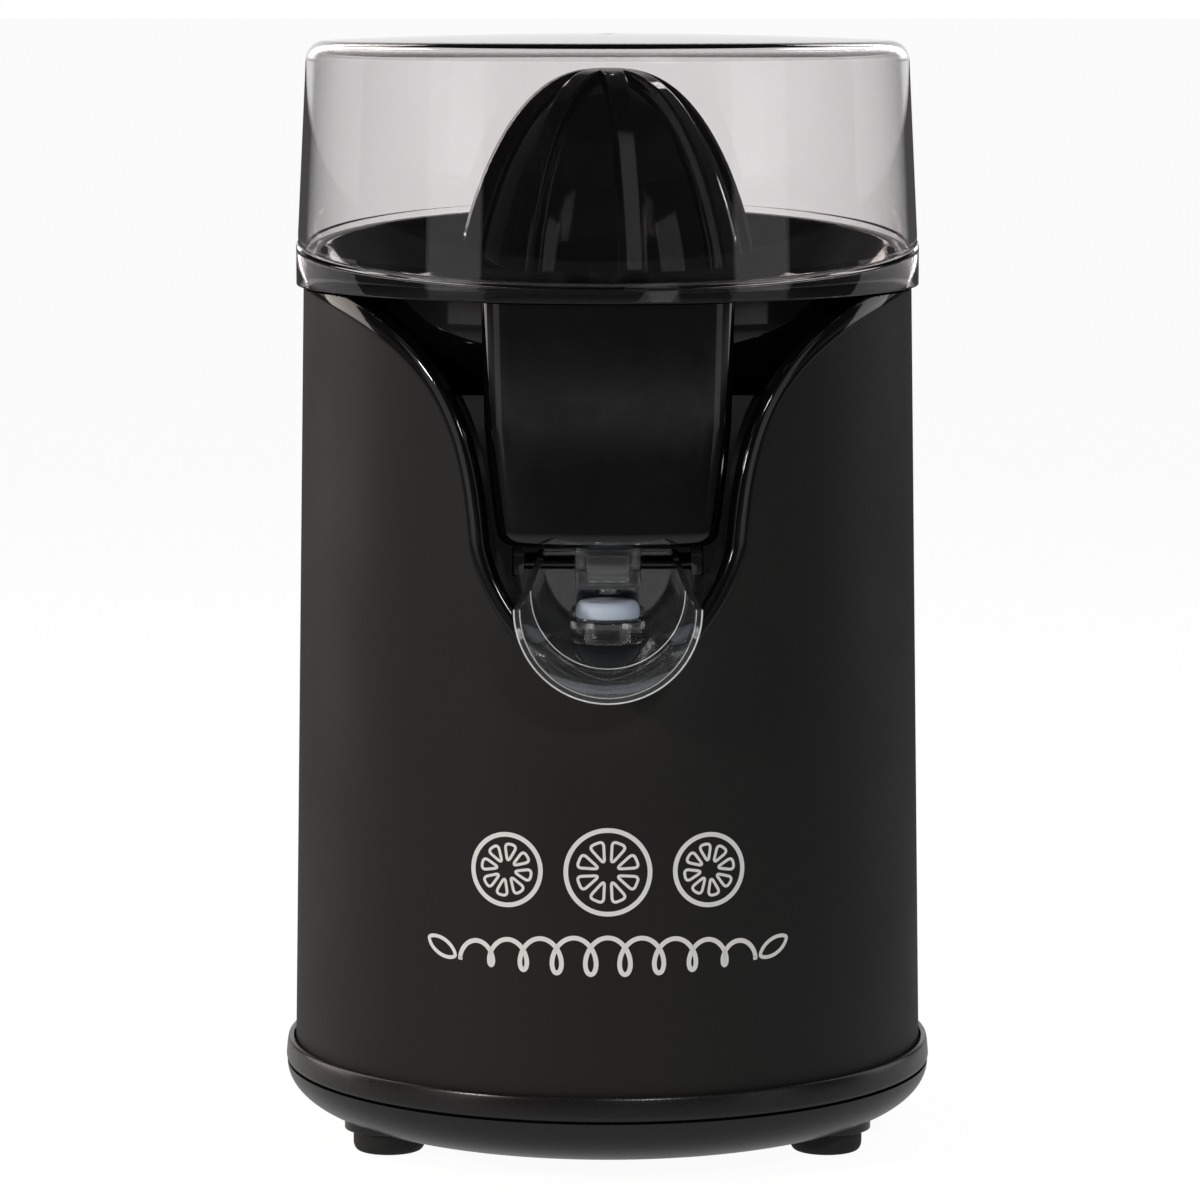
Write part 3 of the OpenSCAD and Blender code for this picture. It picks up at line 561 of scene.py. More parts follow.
class JUICER_OT_alcove(bpy.types.Operator):
    """Gloss liner of the alcove behind the chute and spout"""
    bl_idname = "juicer.alcove"
    bl_label = "Alcove"

    def execute(self, context):
        """The opening's inner outline carried straight back to the alcove's back plane, or to just clear of
        the bowl where that comes first, and a flat back between the outline's two sides."""
        low = ARC_Z - (ARC_H - BEAD_W)
        top = DRUM_TOP_Z - 4.3
        z = low + (top - low) * np.linspace(0, 1, 120) ** 1.8
        x = opening_half_width(z, BEAD_W)
        x = np.concatenate([-x[:0:-1], x])
        z = np.concatenate([z[:0:-1], z])
        front = -np.sqrt(np.maximum((drum_radius(z) - 3.0) ** 2 - x ** 2, 0))
        clear = -np.sqrt(np.maximum(71.6 ** 2 - x ** 2, 0))
        under = np.clip((z - 191.0) / 2.0, 0, 1)
        back = ALCOVE_Y * (1 - under) + np.minimum(ALCOVE_Y, clear) * under
        back = np.maximum(back, front)
        share = np.linspace(0, 1, 14)[:, None]
        sides = np.stack([x + 0 * share, front + (back - front) * share, z + 0 * share], axis=2)
        rows = np.linspace(0, 1, 60) ** 1.5
        wall_z = (low + (192.0 - low) * rows)[:, None]
        wall_x = opening_half_width(wall_z, BEAD_W) * np.linspace(-1, 1, 41)[None]
        wall = np.stack([wall_x, np.full_like(wall_x, ALCOVE_Y), wall_z + 0 * wall_x], axis=2)
        piece = mesh_piece("alcove_liner", [(sides, grid_faces(*sides.shape[:2])),
                                            (wall, grid_faces(*wall.shape[:2])[:, ::-1])], gloss_abs, outward=False)
        piece.data.flip_normals()
        apply_modifier(piece, "SOLIDIFY", thickness=1.2 * MM, offset=-1.0)
        sharpen(piece)
        finish_piece(piece, "housing", "gloss_black", "front_panel")
        return {"FINISHED"}


# Base

class JUICER_OT_base(bpy.types.Operator):
    """Base ring with its raised lip, curved pan, rubber feet and cord gland"""
    bl_idname = "juicer.base"
    bl_label = "Base"

    def execute(self, context):
        """Ring and pan are profiles turned about the axis; the pan's side is a quarter ellipse. The vents,
        screw wells and foot pockets are cut from the pan."""
        self.ring()
        self.pan()
        self.feet()
        self.gland()
        return {"FINISHED"}

    def ring(self):
        """Section of the ring: outer wall, rounded lip, and the shelf inside it that carries the drum."""
        section = [[71.0, SEAM_Z + 0.3], [BASE_R - 0.7, SEAM_Z + 0.3], [BASE_R, SEAM_Z + 1.2],
                   [BASE_R - 0.3, 22.4], [BASE_R - 0.7, 24.3], [BASE_R - 2.2, 24.1], [BASE_R - 2.35, SHELF_Z - 0.05],
                   [71.0, SHELF_Z - 0.05]]
        profile = with_share(rounded(section, [0.3, 0.5, 0.6, 2.0, 0.8, 0.5, 0.2, 0.3], 5))
        add_piece("base_ring_moulding", [revolved(profile, 256)], satin_polypropylene, "housing", "base_plastic",
                  "base_ring", sharp=60)

    def pan(self):
        """Quarter-ellipse side from the flat bottom up to the seam, and the same inside, 2.2 mm in."""
        turn = np.linspace(0, math.pi / 2, 28)
        outer = np.column_stack([PAN_FLAT_R + (BASE_R - 0.25 - PAN_FLAT_R) * np.sin(turn),
                                 SEAM_Z - (SEAM_Z - PAN_LOW_Z) * np.cos(turn)])
        inner = np.column_stack([PAN_FLAT_R + (BASE_R - 2.4 - PAN_FLAT_R) * np.sin(turn),
                                 SEAM_Z - (SEAM_Z - PAN_LOW_Z - 2.2) * np.cos(turn)])[::-1]
        low = [[0.0, PAN_LOW_Z], [30.0, PAN_LOW_Z]]
        high = [[30.0, PAN_LOW_Z + 2.2], [0.0, PAN_LOW_Z + 2.2]]
        profile = with_share(np.concatenate([low, outer, inner, high]))
        piece = mesh_piece("base_pan_moulding", [revolved(profile, 256, closed=False)], satin_polypropylene)
        cutters = [rounded_block([7 * i - 1.2, -14, 0], [7 * i + 1.2, 14, 12], 1.1, 0.2) for i in range(-3, 4)]
        for places, radius, top in ((four_corners(*SCREW_XY), 4.0, 12.0), (four_corners(*FOOT_XY), POCKET_R, 8.1)):
            part = revolved(with_share([[0, 0], [radius, 0], [radius, top], [0, top]]), 64, closed=False)
            cutters += [moved(part, place) for place in places]
        cutter = mesh_piece("pan_cutter", cutters, satin_polypropylene)
        apply_modifier(piece, "BOOLEAN", object=cutter, operation="DIFFERENCE", solver="EXACT")
        bpy.data.objects.remove(cutter)
        sharpen(piece, 40)
        finish_piece(piece, "housing", "base_plastic", "base_pan")
        section = [[POCKET_R, 5.6], [11.2, 5.6], [11.2, 10.2], [0.0, 10.2], [0.0, 8.15], [POCKET_R, 8.15]]
        seat = revolved(with_share(rounded(section, 0.3, 3)), 64)
        add_piece("foot_seats", [moved(seat, place) for place in four_corners(*FOOT_XY)], satin_polypropylene,
                  "housing", "base_plastic", sharp=50)

    def feet(self):
        """Four turned pads with a rounded tread edge and a dimple."""
        section = rounded([[0.0, 0.9], [3.0, 0.9], [3.4, 0.0], [8.2, 0.0], [9.0, 1.4], [9.0, 8.1], [0.0, 8.1]],
                          [0, 0.4, 0.3, 0.8, 1.0, 0.3, 0], 4)
        one = revolved(with_share(section), 72)
        pads = [moved(one, place) for place in four_corners(*FOOT_XY)]
        add_piece("rubber_feet", pads, foot_rubber, "housing", "rubber", "feet")

    def gland(self):
        """A short ribbed rubber sleeve turned about a line along Y, open at its end."""
        low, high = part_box("cord_gland")
        start, end = 79.5, high[1] / MM
        z = (low[2] + high[2]) / 2 / MM
        ribs = np.linspace(0, 1, 90)
        along = 84.0 + (end - 84.0) * ribs
        radius = 4.35 - 0.5 * ribs + 0.5 * np.clip(np.sin(ribs * 2 * math.pi * 5.0) * 3, -1, 1) * (ribs > 0.06)
        outer = np.column_stack([radius, along])
        base = [[2.5, start], [3.9, start], [3.9, 82.4], [5.9, 82.4], [5.9, 83.9], [4.3, 84.0]]
        profile = np.concatenate([base, outer, [[3.0, end], [2.5, end - 0.3]]])
        points, faces = revolved(with_share(profile), 64)
        turned = np.stack([points[..., 0], points[..., 2], z - points[..., 1]], axis=-1)
        piece = mesh_piece("cord_gland_sleeve", [(turned, faces)], foot_rubber)
        finish_piece(piece, "housing", "rubber", "cord_gland")


# Bowl, chute, nozzle, spout and plug

class JUICER_OT_bowl(bpy.types.Operator):
    """Juice bowl: basin with a sloping rim, and the chute that hangs from it"""
    bl_idname = "juicer.bowl"
    bl_label = "Bowl"

    def execute(self, context):
        """The basin is a rounded section turned about the axis, whose rim rises towards the back. The chute
        lofts rounded outlines downwards and pulls in at the bottom along a quarter circle."""
        section = [[8.7, 194.1, 0], [58.0, 194.1, 0], [69.4, 205.0, 0], [69.4, FLANGE_Z + 0.1, 0],
                   [RIM_OUT_R - 0.1, FLANGE_Z + 0.1, 0], [RIM_OUT_R - 0.1, RIM_Z - 0.05, 1],
                   [RIM_OUT_R - 3.4, RIM_Z - 0.15, 1], [RIM_OUT_R - 4.4, RIM_Z - 3.8, 1], [67.4, 215.2, 0],
                   [67.4, 206.0, 0], [57.0, 196.1, 0], [13.0, 196.1, 0], [13.0, 212.0, 0], [10.6, 212.0, 0],
                   [10.6, 226.0, 0], [8.7, 226.0, 0]]
        radii = [0.3, 5.0, 5.0, 0.5, 0.8, 1.0, 1.0, 2.0, 3.0, 6.0, 5.0, 2.0, 0.5, 0.3, 0.8, 0.5]
        basin = revolved(rounded(section, radii, 6), 256)
        add_piece("bowl_basin", [basin], gloss_abs, "juice_bowl", "gloss_black", "bowl", sharp=60)
        add_piece("chute_moulding", [capped_loft(self.chute_rings())], gloss_abs, "juice_bowl", "gloss_black",
                  "bowl_chute", sharp=50)
        ears = []
        for side in (-1, 1):
            x = side * 21.7
            ears.append(rounded_block([x - 1.5, HINGE_Y - 3, HINGE_Z - 3], [x + 1.5, HINGE_Y + 3, 157.4], 0.4, 0.4))
        add_piece("hinge_ears", ears, gloss_abs, "juice_bowl", "gloss_black", "bowl_chute", sharp=50)
        return {"FINISHED"}

    def chute_rings(self):
        """Outlines of the chute from its top down. Half width eases from 30.6 to 29.8 mm and then to
        26.8 mm; the front bulges as a circle about the drum's axis."""
        corner = 3.8
        upper = np.linspace(FLANGE_Z - 0.2, CHUTE_LOW_Z + corner, 40)
        turn = np.linspace(0, math.pi / 2, 9)[1:]
        heights = np.concatenate([upper, CHUTE_LOW_Z + corner * (1 - np.sin(turn))])
        pulls = np.concatenate([0 * upper, corner * (1 - np.cos(turn))])
        fall = np.clip((heights - CHUTE_LOW_Z - corner) / (CHUTE_BEND_Z - CHUTE_LOW_Z - corner), 0, 1)
        half = 26.8 + 3.0 * fall ** 0.8 + 0.8 * np.clip((heights - CHUTE_BEND_Z) / 29.0, 0, 1)
        rings = []
        for height, pull, width in zip(heights, pulls, half):
            front_r = CHUTE_FRONT_R - pull * 0.8
            w = width - pull
            front = -math.sqrt(front_r ** 2 - w ** 2)
            flat = rounded([[-w, CHUTE_BACK_Y], [-w, front], [w, front], [w, CHUTE_BACK_Y]], [1.0, 4.6, 4.6, 1.0], 8)
            dense = []
            for a, b in zip(flat, np.roll(flat, -1, axis=0)):
                steps = 24 if np.linalg.norm(b - a) > 20 and a[1] < -60 else 2
                dense.append(a + (b - a) * np.linspace(0, 1, steps, endpoint=False)[:, None])
            flat = np.concatenate(dense)
            bulge = np.sqrt(np.maximum(front_r ** 2 - flat[:, 0] ** 2, 0)) + front
            ahead = np.clip((CHUTE_BACK_Y - flat[:, 1]) / (CHUTE_BACK_Y - front), 0, 1) ** 5
            flat[:, 1] -= bulge * ahead
            rings.append(np.column_stack([flat, np.full(len(flat), height)]))
        return rings


class JUICER_OT_nozzle(bpy.types.Operator):
    """Clear nozzle under the chute"""
    bl_idname = "juicer.nozzle"
    bl_label = "Nozzle"

    def execute(self, context):
        """A rounded block with a square room inside it, and a turned neck with its bore."""
        block = rounded_block([-8.0, NOZZLE_Y - 5.5, 146.6], [8.0, NOZZLE_Y + 5.5, 156.6], 1.2, 0.6)
        room = rounded_block([-5.2, NOZZLE_Y - 3.7, 148.2], [5.2, NOZZLE_Y + 3.7, 155.0], 0.8, 0.5)
        neck = revolved(with_share(rounded([[2.2, 145.25], [3.2, 145.25], [3.2, 147.2], [2.2, 147.2]], 0.3, 3)), 48)
        shell = mesh_piece("nozzle_moulding", [block, moved(neck, (0, NOZZLE_Y, 0))], clear_san)
        hollow = mesh_piece("nozzle_room", [room], clear_san)
        hollow.data.flip_normals()
        work = bmesh.new()
        work.from_mesh(shell.data)
        work.from_mesh(hollow.data)
        work.to_mesh(shell.data)
        work.free()
        bpy.data.objects.remove(hollow)
        sharpen(shell, 50)
        finish_piece(shell, "juice_bowl", "clear_plastic", "nozzle")
        return {"FINISHED"}


class JUICER_OT_spout(bpy.types.Operator):
    """Clear tilting trough with the cup that holds the drip plug"""
    bl_idname = "juicer.spout"
    bl_label = "Spout"

    def execute(self, context):
        """The trough is a U section, half a circle under straight walls, carried along a line that falls
        towards the front while the circle grows. The rear wall shrinks the first section to its top. Fine
        beads along both edges of the lip and a step inside carry a pale material: painted highlight standing in for
        the edge glints."""
        wall, steps = 1.6, 46
        t = np.linspace(0, 1, steps)
        radius = 17.0 + 5.4 * t ** 1.15 - wall / 2
        y = HINGE_Y + 3.0 - (SPOUT_LEN - 0.6) * t * math.cos(SPOUT_TILT)
        axis_z = HINGE_Z - 0.9 + 0.45 - SPOUT_LEN * t * math.sin(SPOUT_TILT)
        top = HINGE_Z + 2.6 - (SPOUT_LEN * t) * math.tan(math.radians(14.0)) + 0.8 * t ** 6
        top = np.maximum(top, axis_z + 0.2)
        rings = []
        turn = np.linspace(math.pi, 2 * math.pi, 45)
        for r, depth, middle, upper in zip(radius, y, axis_z, top):
            bottom = np.column_stack([r * np.cos(turn), middle + r * np.sin(turn)])
            side = np.linspace(upper, middle, 8, endpoint=False)
            left = np.column_stack([np.full(8, -r), side])
            right = np.column_stack([np.full(8, r), side[::-1]])
            flat = np.concatenate([left, bottom, right])
            rings.append(np.column_stack([flat[:, 0], np.full(len(flat), depth), flat[:, 1]]))
        rings = np.array(rings)
        # The pale beads on the lip are painted highlight: they stand in for the glints of the polished edges.
        lines = [self.edge_line(rings[-1], 0.12, wall / 2 - 0.15, 0.2),
                 self.edge_line(rings[-1], 0.12, 0.1 - wall / 2, 0.13),
                 self.edge_line(rings[round(0.6 * steps)], 0.0, -wall / 2, 0.15)]
        add_piece("spout_edges", lines, painted_highlight_edge, "tilt_spout", "clear_plastic")
        rings[0, :, 1] -= 0.9
        crown = np.array([0.0, rings[0, 0, 1], rings[0, 0, 2]])
        shares = np.linspace(0, 1, 12)[:-1] ** 0.9
        rear = [crown + share * (rings[0] - crown) for share in shares]
        rings = np.concatenate([np.array(rear), rings])
        trough = (rings, grid_faces(rings.shape[0], rings.shape[1]))
        piece = mesh_piece("spout_trough", [trough], clear_san, outward=False)
        apply_modifier(piece, "SOLIDIFY", thickness=wall * MM, offset=0.0, use_even_offset=True)
        apply_modifier(piece, "BEVEL", width=0.78 * MM, segments=4, limit_method="ANGLE",
                       angle_limit=math.radians(50))
        sharpen(piece, 70)
        finish_piece(piece, "tilt_spout", "clear_plastic", "spout")
        cup = rounded([[0.0, 133.4], [9.0, 133.4], [9.0, 139.1], [6.8, 139.1], [6.4, 138.2], [0.0, 138.2]],
                      [0, 0.6, 0.5, 0.4, 0.4, 0], 4)
        cup = moved(revolved(with_share(cup), 72, closed=False), (0, NOZZLE_Y, 0))
        add_piece("plug_cup", [cup], clear_san, "tilt_spout", "clear_plastic")
        return {"FINISHED"}


    def edge_line(self, ring, back, out, radius):
        """A fine round bead along a U section: circles stand across the path, in the plane of the section's
        outward direction and the Y axis."""
        along = np.gradient(ring, axis=0)
        along /= np.linalg.norm(along, axis=1)[:, None]
        outward = np.stack([along[:, 2], 0 * along[:, 1], -along[:, 0]], axis=1)
        outward *= np.sign((outward * (ring - ring.mean(axis=0))).sum(axis=1))[:, None]
        turn = np.linspace(0, 2 * math.pi, 10, endpoint=False)[None, :, None]
        path = ring + outward * out + [0.0, back, 0.0]
        circles = path[:, None] + radius * (np.cos(turn) * outward[:, None] + np.sin(turn) * np.array([0, 1.0, 0]))
        return capped_loft(list(circles))


class JUICER_OT_plug(bpy.types.Operator):
    """Silicone drip plug"""
    bl_idname = "juicer.plug"
    bl_label = "Drip plug"

    def execute(self, context):
        """A turned disc with a soft rounded shoulder and a shallow dished top."""
        section = rounded([[0.0, 143.1], [4.6, 143.25], [6.6, 143.55], [7.7, 142.2], [7.7, 139.3], [0.0, 139.3]],
                          [0, 1.0, 0.9, 1.2, 0.6, 0], 6)
        part = moved(revolved(with_share(section), 96, closed=False), (0, NOZZLE_Y, 0))
        add_piece("silicone_plug", [part], translucent_silicone, "tilt_spout", "silicone", "drip_plug")
        return {"FINISHED"}


# Reamer and lid

class JUICER_OT_reamer(bpy.types.Operator):
    """Ribbed pressing cone"""
    bl_idname = "juicer.reamer"
    bl_label = "Reamer"

    def execute(self, context):
        """Radius over height follows (1 - t^1.3)^0.4, for the ribs' crests and, 10% smaller, for the body
        between them. A rib keeps its width up the cone: the turn of a point is the arcsine of its distance
        from the rib's middle over the radius, and an S-curve of that distance joins body and crest. The
        crest is divided by the cosine of its turn, which makes each rib's face flat."""
        height = REAMER_TIP_Z - REAMER_LOW_Z
        t = 1 - (1 - np.linspace(0, 1, 96)) ** 1.8
        crest = (REAMER_R - 0.15) * (1 - t ** 1.3) ** 0.4
        face, foot, sector = 2.35, 3.75, math.pi / 8
        near = np.concatenate([np.linspace(0, face, 5), np.linspace(face, foot, 13)[1:]])
        limit = np.maximum(crest, 1e-6)[:, None] * math.sin(sector) * 0.999
        far = foot + (np.maximum(limit, foot + 0.1) - foot) * np.linspace(0, 1, 12)[None, 1:]
        distance = np.minimum(np.concatenate([near[None] + 0 * limit, far], axis=1), limit)
        step = np.clip((distance - face) / (foot - face), 0, 1)
        lift = 1 - step * step * (3 - 2 * step)
        turn = np.arcsin(distance / np.maximum(crest, 1e-6)[:, None])
        turn[:, -1] = sector
        turn = np.concatenate([-turn[:, :0:-1], turn[:, :-1]], axis=1)
        lift = np.concatenate([lift[:, :0:-1], lift[:, :-1]], axis=1)
        angle = (math.radians(10.0) + 2 * sector * np.arange(8)[None, :, None] + turn[:, None, :]).reshape(len(t), -1)
        flat = 1 / np.cos(np.tile(turn, (1, 8)) * np.tile(lift, (1, 8)))
        lift = np.tile(lift, (1, 8))
        body = (crest * 0.9)[:, None]
        radius = np.minimum(body + (crest[:, None] * flat - body) * lift, REAMER_R - 0.05)
        z = (REAMER_LOW_Z + (height - 2.2) * t)[:, None] + 2.2 * t[:, None] * lift
        radius[-1] = 0.0
        z[-1] = REAMER_TIP_Z
        outer = np.stack([radius * np.sin(angle), -radius * np.cos(angle), z], axis=2)
        s = np.linspace(0, 1, 30)
        inner_r = (REAMER_R * 0.78 * (1 - s ** 1.6) ** 0.5)[:, None]
        inner_z = (REAMER_LOW_Z + (height - 8.0) * s)[:, None] + 0 * angle[:1]
        inner = np.stack([inner_r * np.sin(angle[:1]), -inner_r * np.cos(angle[:1]), inner_z], axis=2)[::-1]
        points = np.concatenate([inner, outer])
        add_piece("reamer_cone", [(points, grid_faces(*points.shape[:2], wrap_columns=True))], gloss_abs,
                  "press_cone", "gloss_black", "reamer", sharp=50)
        boss = rounded([[4.5, 227.2], [6.9, 227.2], [6.9, 258.0], [0.0, 258.0], [0.0, 241.2], [4.5, 241.2]], 0.3, 3)
        add_piece("reamer_boss", [revolved(with_share(boss), 48)], gloss_abs, "press_cone", "gloss_black", sharp=50)
        return {"FINISHED"}


class JUICER_OT_lid(bpy.types.Operator):
    """Smoked clear lid with a rounded top edge and a stepped skirt"""
    bl_idname = "juicer.lid"
    bl_label = "Lid"

    def execute(self, context):
        """One closed section turned about the axis. The skirt's step follows the bowl's sloping rim, the
        wall drafts inwards to a 5 mm round top edge, the top is crowned by 1.6 mm along a parabola, and a
        small gate mark lies at the middle."""
        top_r, low_r, wall, edge, crown = 75.9, 78.1, 2.0, 5.0, 1.6
        turn = np.linspace(0, math.pi / 2, 12)
        outer_arc = np.column_stack([top_r - edge + edge * np.cos(turn), LID_TOP_Z - edge + edge * np.sin(turn)])
        inner_arc = np.column_stack([top_r - edge + (edge - wall) * np.cos(turn),
                                     LID_TOP_Z - edge + (edge - wall) * np.sin(turn)])[::-1]
        skirt = rounded([[low_r, 229.3, 1], [low_r, RIM_Z + 1.6, 1], [SKIRT_R, RIM_Z + 1.0, 1],
                         [SKIRT_R, SKIRT_LOW_Z + 0.05, 0], [SKIRT_R - 1.4, SKIRT_LOW_Z + 0.05, 0],
                         [SKIRT_R - 1.4, RIM_Z + 0.1, 1], [low_r - wall, RIM_Z + 0.1, 1], [low_r - wall, 229.3, 1]],
                        [0, 0.5, 0.5, 0.5, 0.5, 0.3, 0.3, 0], 4, closed=False)
        outer_arc[:, 1] -= crown
        inner_arc[:, 1] -= crown
        across = np.linspace(0, 1, 16)[1:-1] * (top_r - edge)
        bulge = LID_TOP_Z - crown * (across / (top_r - edge)) ** 2
        gate = LID_TOP_Z + np.array([[0.0, -0.55], [0.0, -0.5], [0.0, -0.02]])
        gate[:, 0] = [0.0, 1.3, 1.9]
        dimple = with_share(np.concatenate([gate, np.column_stack([across, bulge])]))
        under = with_share(np.column_stack([across, bulge - wall]))
        profile = np.concatenate([with_share([[0.0, LID_TOP_Z - wall]]), under, with_share(inner_arc), skirt[::-1],
                                  with_share(outer_arc), dimple[::-1]])
        add_piece("lid_moulding", [revolved(profile, 256, closed=False)], smoked_san, "cover", "smoke_plastic",
                  "lid", sharp=60)
        return {"FINISHED"}


# Printed motif

def stroke(path, width, closed=False):
    """A flat ribbon of even width with round ends along a path of (distance round the drum, height)."""
    path = np.asarray(path, float)
    if closed:
        along = np.roll(path, -1, axis=0) - np.roll(path, 1, axis=0)
    else:
        along = np.gradient(path, axis=0)
    along /= np.maximum(np.linalg.norm(along, axis=1), 1e-9)[:, None]
    across = np.column_stack([-along[:, 1], along[:, 0]])
    half = np.full(len(path), width / 2)
    if not closed:
        turn = np.linspace(0, math.pi / 2, 6)
        start = path[0] - along[0] * (width / 2 * np.cos(turn))[:, None]
        end = path[-1] + along[-1] * (width / 2 * np.sin(turn))[:, None]
        path = np.concatenate([start[:-1], path, end[1:]])
        across = np.concatenate([np.repeat(across[:1], 5, 0), across, np.repeat(across[-1:], 5, 0)])
        half = np.concatenate([width / 2 * np.sin(turn)[:-1], half, width / 2 * np.cos(turn)[1:]])
    rows = [path + across * (half * side)[:, None] for side in (-1.0, -0.4, 0.4, 1.0)]
    flat = np.stack(rows, axis=1)
    return flat, grid_faces(len(path), 4, wrap_rows=closed)


class JUICER_OT_motif(bpy.types.Operator):
    """White line drawing of citrus slices over a looping flourish, screen printed on the drum"""
    bl_idname = "juicer.motif"
    bl_label = "Printed motif"

    def execute(self, context):
        """Each slice is a ring, an inner ring of rounded segments and a leaf; the flourish is a trochoid.
        Ribbons are drawn on the unrolled drum and then wrapped round it, just above its surface."""
        width = context.scene.juicer_sizes.print_line / MM
        parts = []
        for centre, turn in ((-25.0, 0.2), (0.0, 0.0), (25.0, -0.2)):
            parts += self.citrus_slice((centre, 79.0), 8.6 if centre else 10.2, turn, width)
        parts += self.flourish(58.5, 37.0, 4.3, width)
        wrapped = []
        for flat, faces in parts:
            z = flat[..., 1]
            angle = flat[..., 0] / drum_radius(70.0)
            wrapped.append((on_drum(angle, z, 0.05), faces))
        piece = mesh_piece("printed_motif", wrapped, screen_ink, outward=False)
        self.face_out(piece)
        finish_piece(piece, "housing", "drum_paint")
        return {"FINISHED"}

    def citrus_slice(self, centre, radius, turn, width):
        """A round slice: its rind, and eight segments whose outlines are rounded wedges."""
        around = np.linspace(0, 2 * math.pi, 72, endpoint=False)
        unit = np.column_stack([np.cos(around), np.sin(around)])
        parts = [stroke(np.array(centre) + unit * radius, width, closed=True)]
        for k in range(8):
            middle = turn + (k + 0.5) * math.pi / 4
            spread = 0.255
            corner = np.array([[0.2 * radius, 0.0], [0.76 * radius, -spread], [0.76 * radius, spread]])
            wedge = np.column_stack([corner[:, 0] * np.cos(middle + corner[:, 1]),
                                     corner[:, 0] * np.sin(middle + corner[:, 1])])
            loop = rounded(wedge, 1.5, 6)
            parts.append(stroke(np.array(centre) + loop, width * 0.62, closed=True))
        return parts

    def flourish(self, height, reach, size, width):
        """A line of round loops that grow towards the middle, with a leaf at each end."""
        s = np.linspace(0, 1, 520)
        loops = 9
        phase = 2 * math.pi * loops * s
        swell = 0.45 + 0.55 * np.sin(math.pi * s) ** 0.8
        x = -reach + 2 * reach * s - 0.72 * size * swell * np.sin(phase)
        z = height - size * swell * np.cos(phase) * 1.05
        parts = [stroke(np.column_stack([x, z]), width)]
        for side in (-1, 1):
            u = np.linspace(0, math.pi * 2, 48, endpoint=False)
            leaf_x = 4.2 * np.cos(u)
            leaf_z = 1.9 * np.sin(u) * np.abs(np.sin(u)) ** 0.35
            tilt = 0.5 * side
            px = side * (reach + 5.2) + leaf_x * math.cos(tilt) - leaf_z * math.sin(tilt)
            pz = height + 0.4 + leaf_x * math.sin(tilt) + leaf_z * math.cos(tilt)
            parts.append(stroke(np.column_stack([px, pz]), width * 0.8, closed=True))
        return parts

    def face_out(self, piece):
        """Turns every face of the print away from the drum's axis."""
        work = bmesh.new()
        work.from_mesh(piece.data)
        turned = [f for f in work.faces if f.normal.xy.dot(f.calc_center_median().xy) < 0]
        bmesh.ops.reverse_faces(work, faces=turned)
        work.to_mesh(piece.data)
        work.free()


# Inner works: frame nodes that keep their shapes

INNER_FINISHES = {
    zinc_plated_steel: ["base_screws", "gearbox_screws", "motor_screws", "upper_bracket", "lower_bracket",
                        "idler_axle", "motor_shaft", "spindle", "return_spring", "switch_lever", "lever_pin"],
    natural_acetal: ["output_gear", "compound_gear"],
    grey_polymer: ["chassis", "gearbox_housing", "gearbox_cover", "terminal_block"],
    stacked_laminations: ["stator", "rotor"],
    enamelled_copper: ["coil"],
    sintered_bronze: ["spindle_bush", "motor_pinion"],
    black_phenolic: ["switch_body", "spindle_clip"],
    red_nylon: ["switch_button"],
    gloss_abs: ["strainer", "spout_pin"],
}


class JUICER_OT_inner_works(bpy.types.Operator):
    """Finishes for the motor, gears, spindle, switch, strainer and fasteners"""
    bl_idname = "juicer.inner_works"
    bl_label = "Inner works"

    def execute(self, context):
        """Each frame node keeps its shape and gets one material in its first slot."""
        for maker, nodes in INNER_FINISHES.items():
            for node in nodes:
                slots = frame["nodes"][node].data.materials
                slots.clear()
                slots.append(material_for(maker))
        return {"FINISHED"}


# Stage

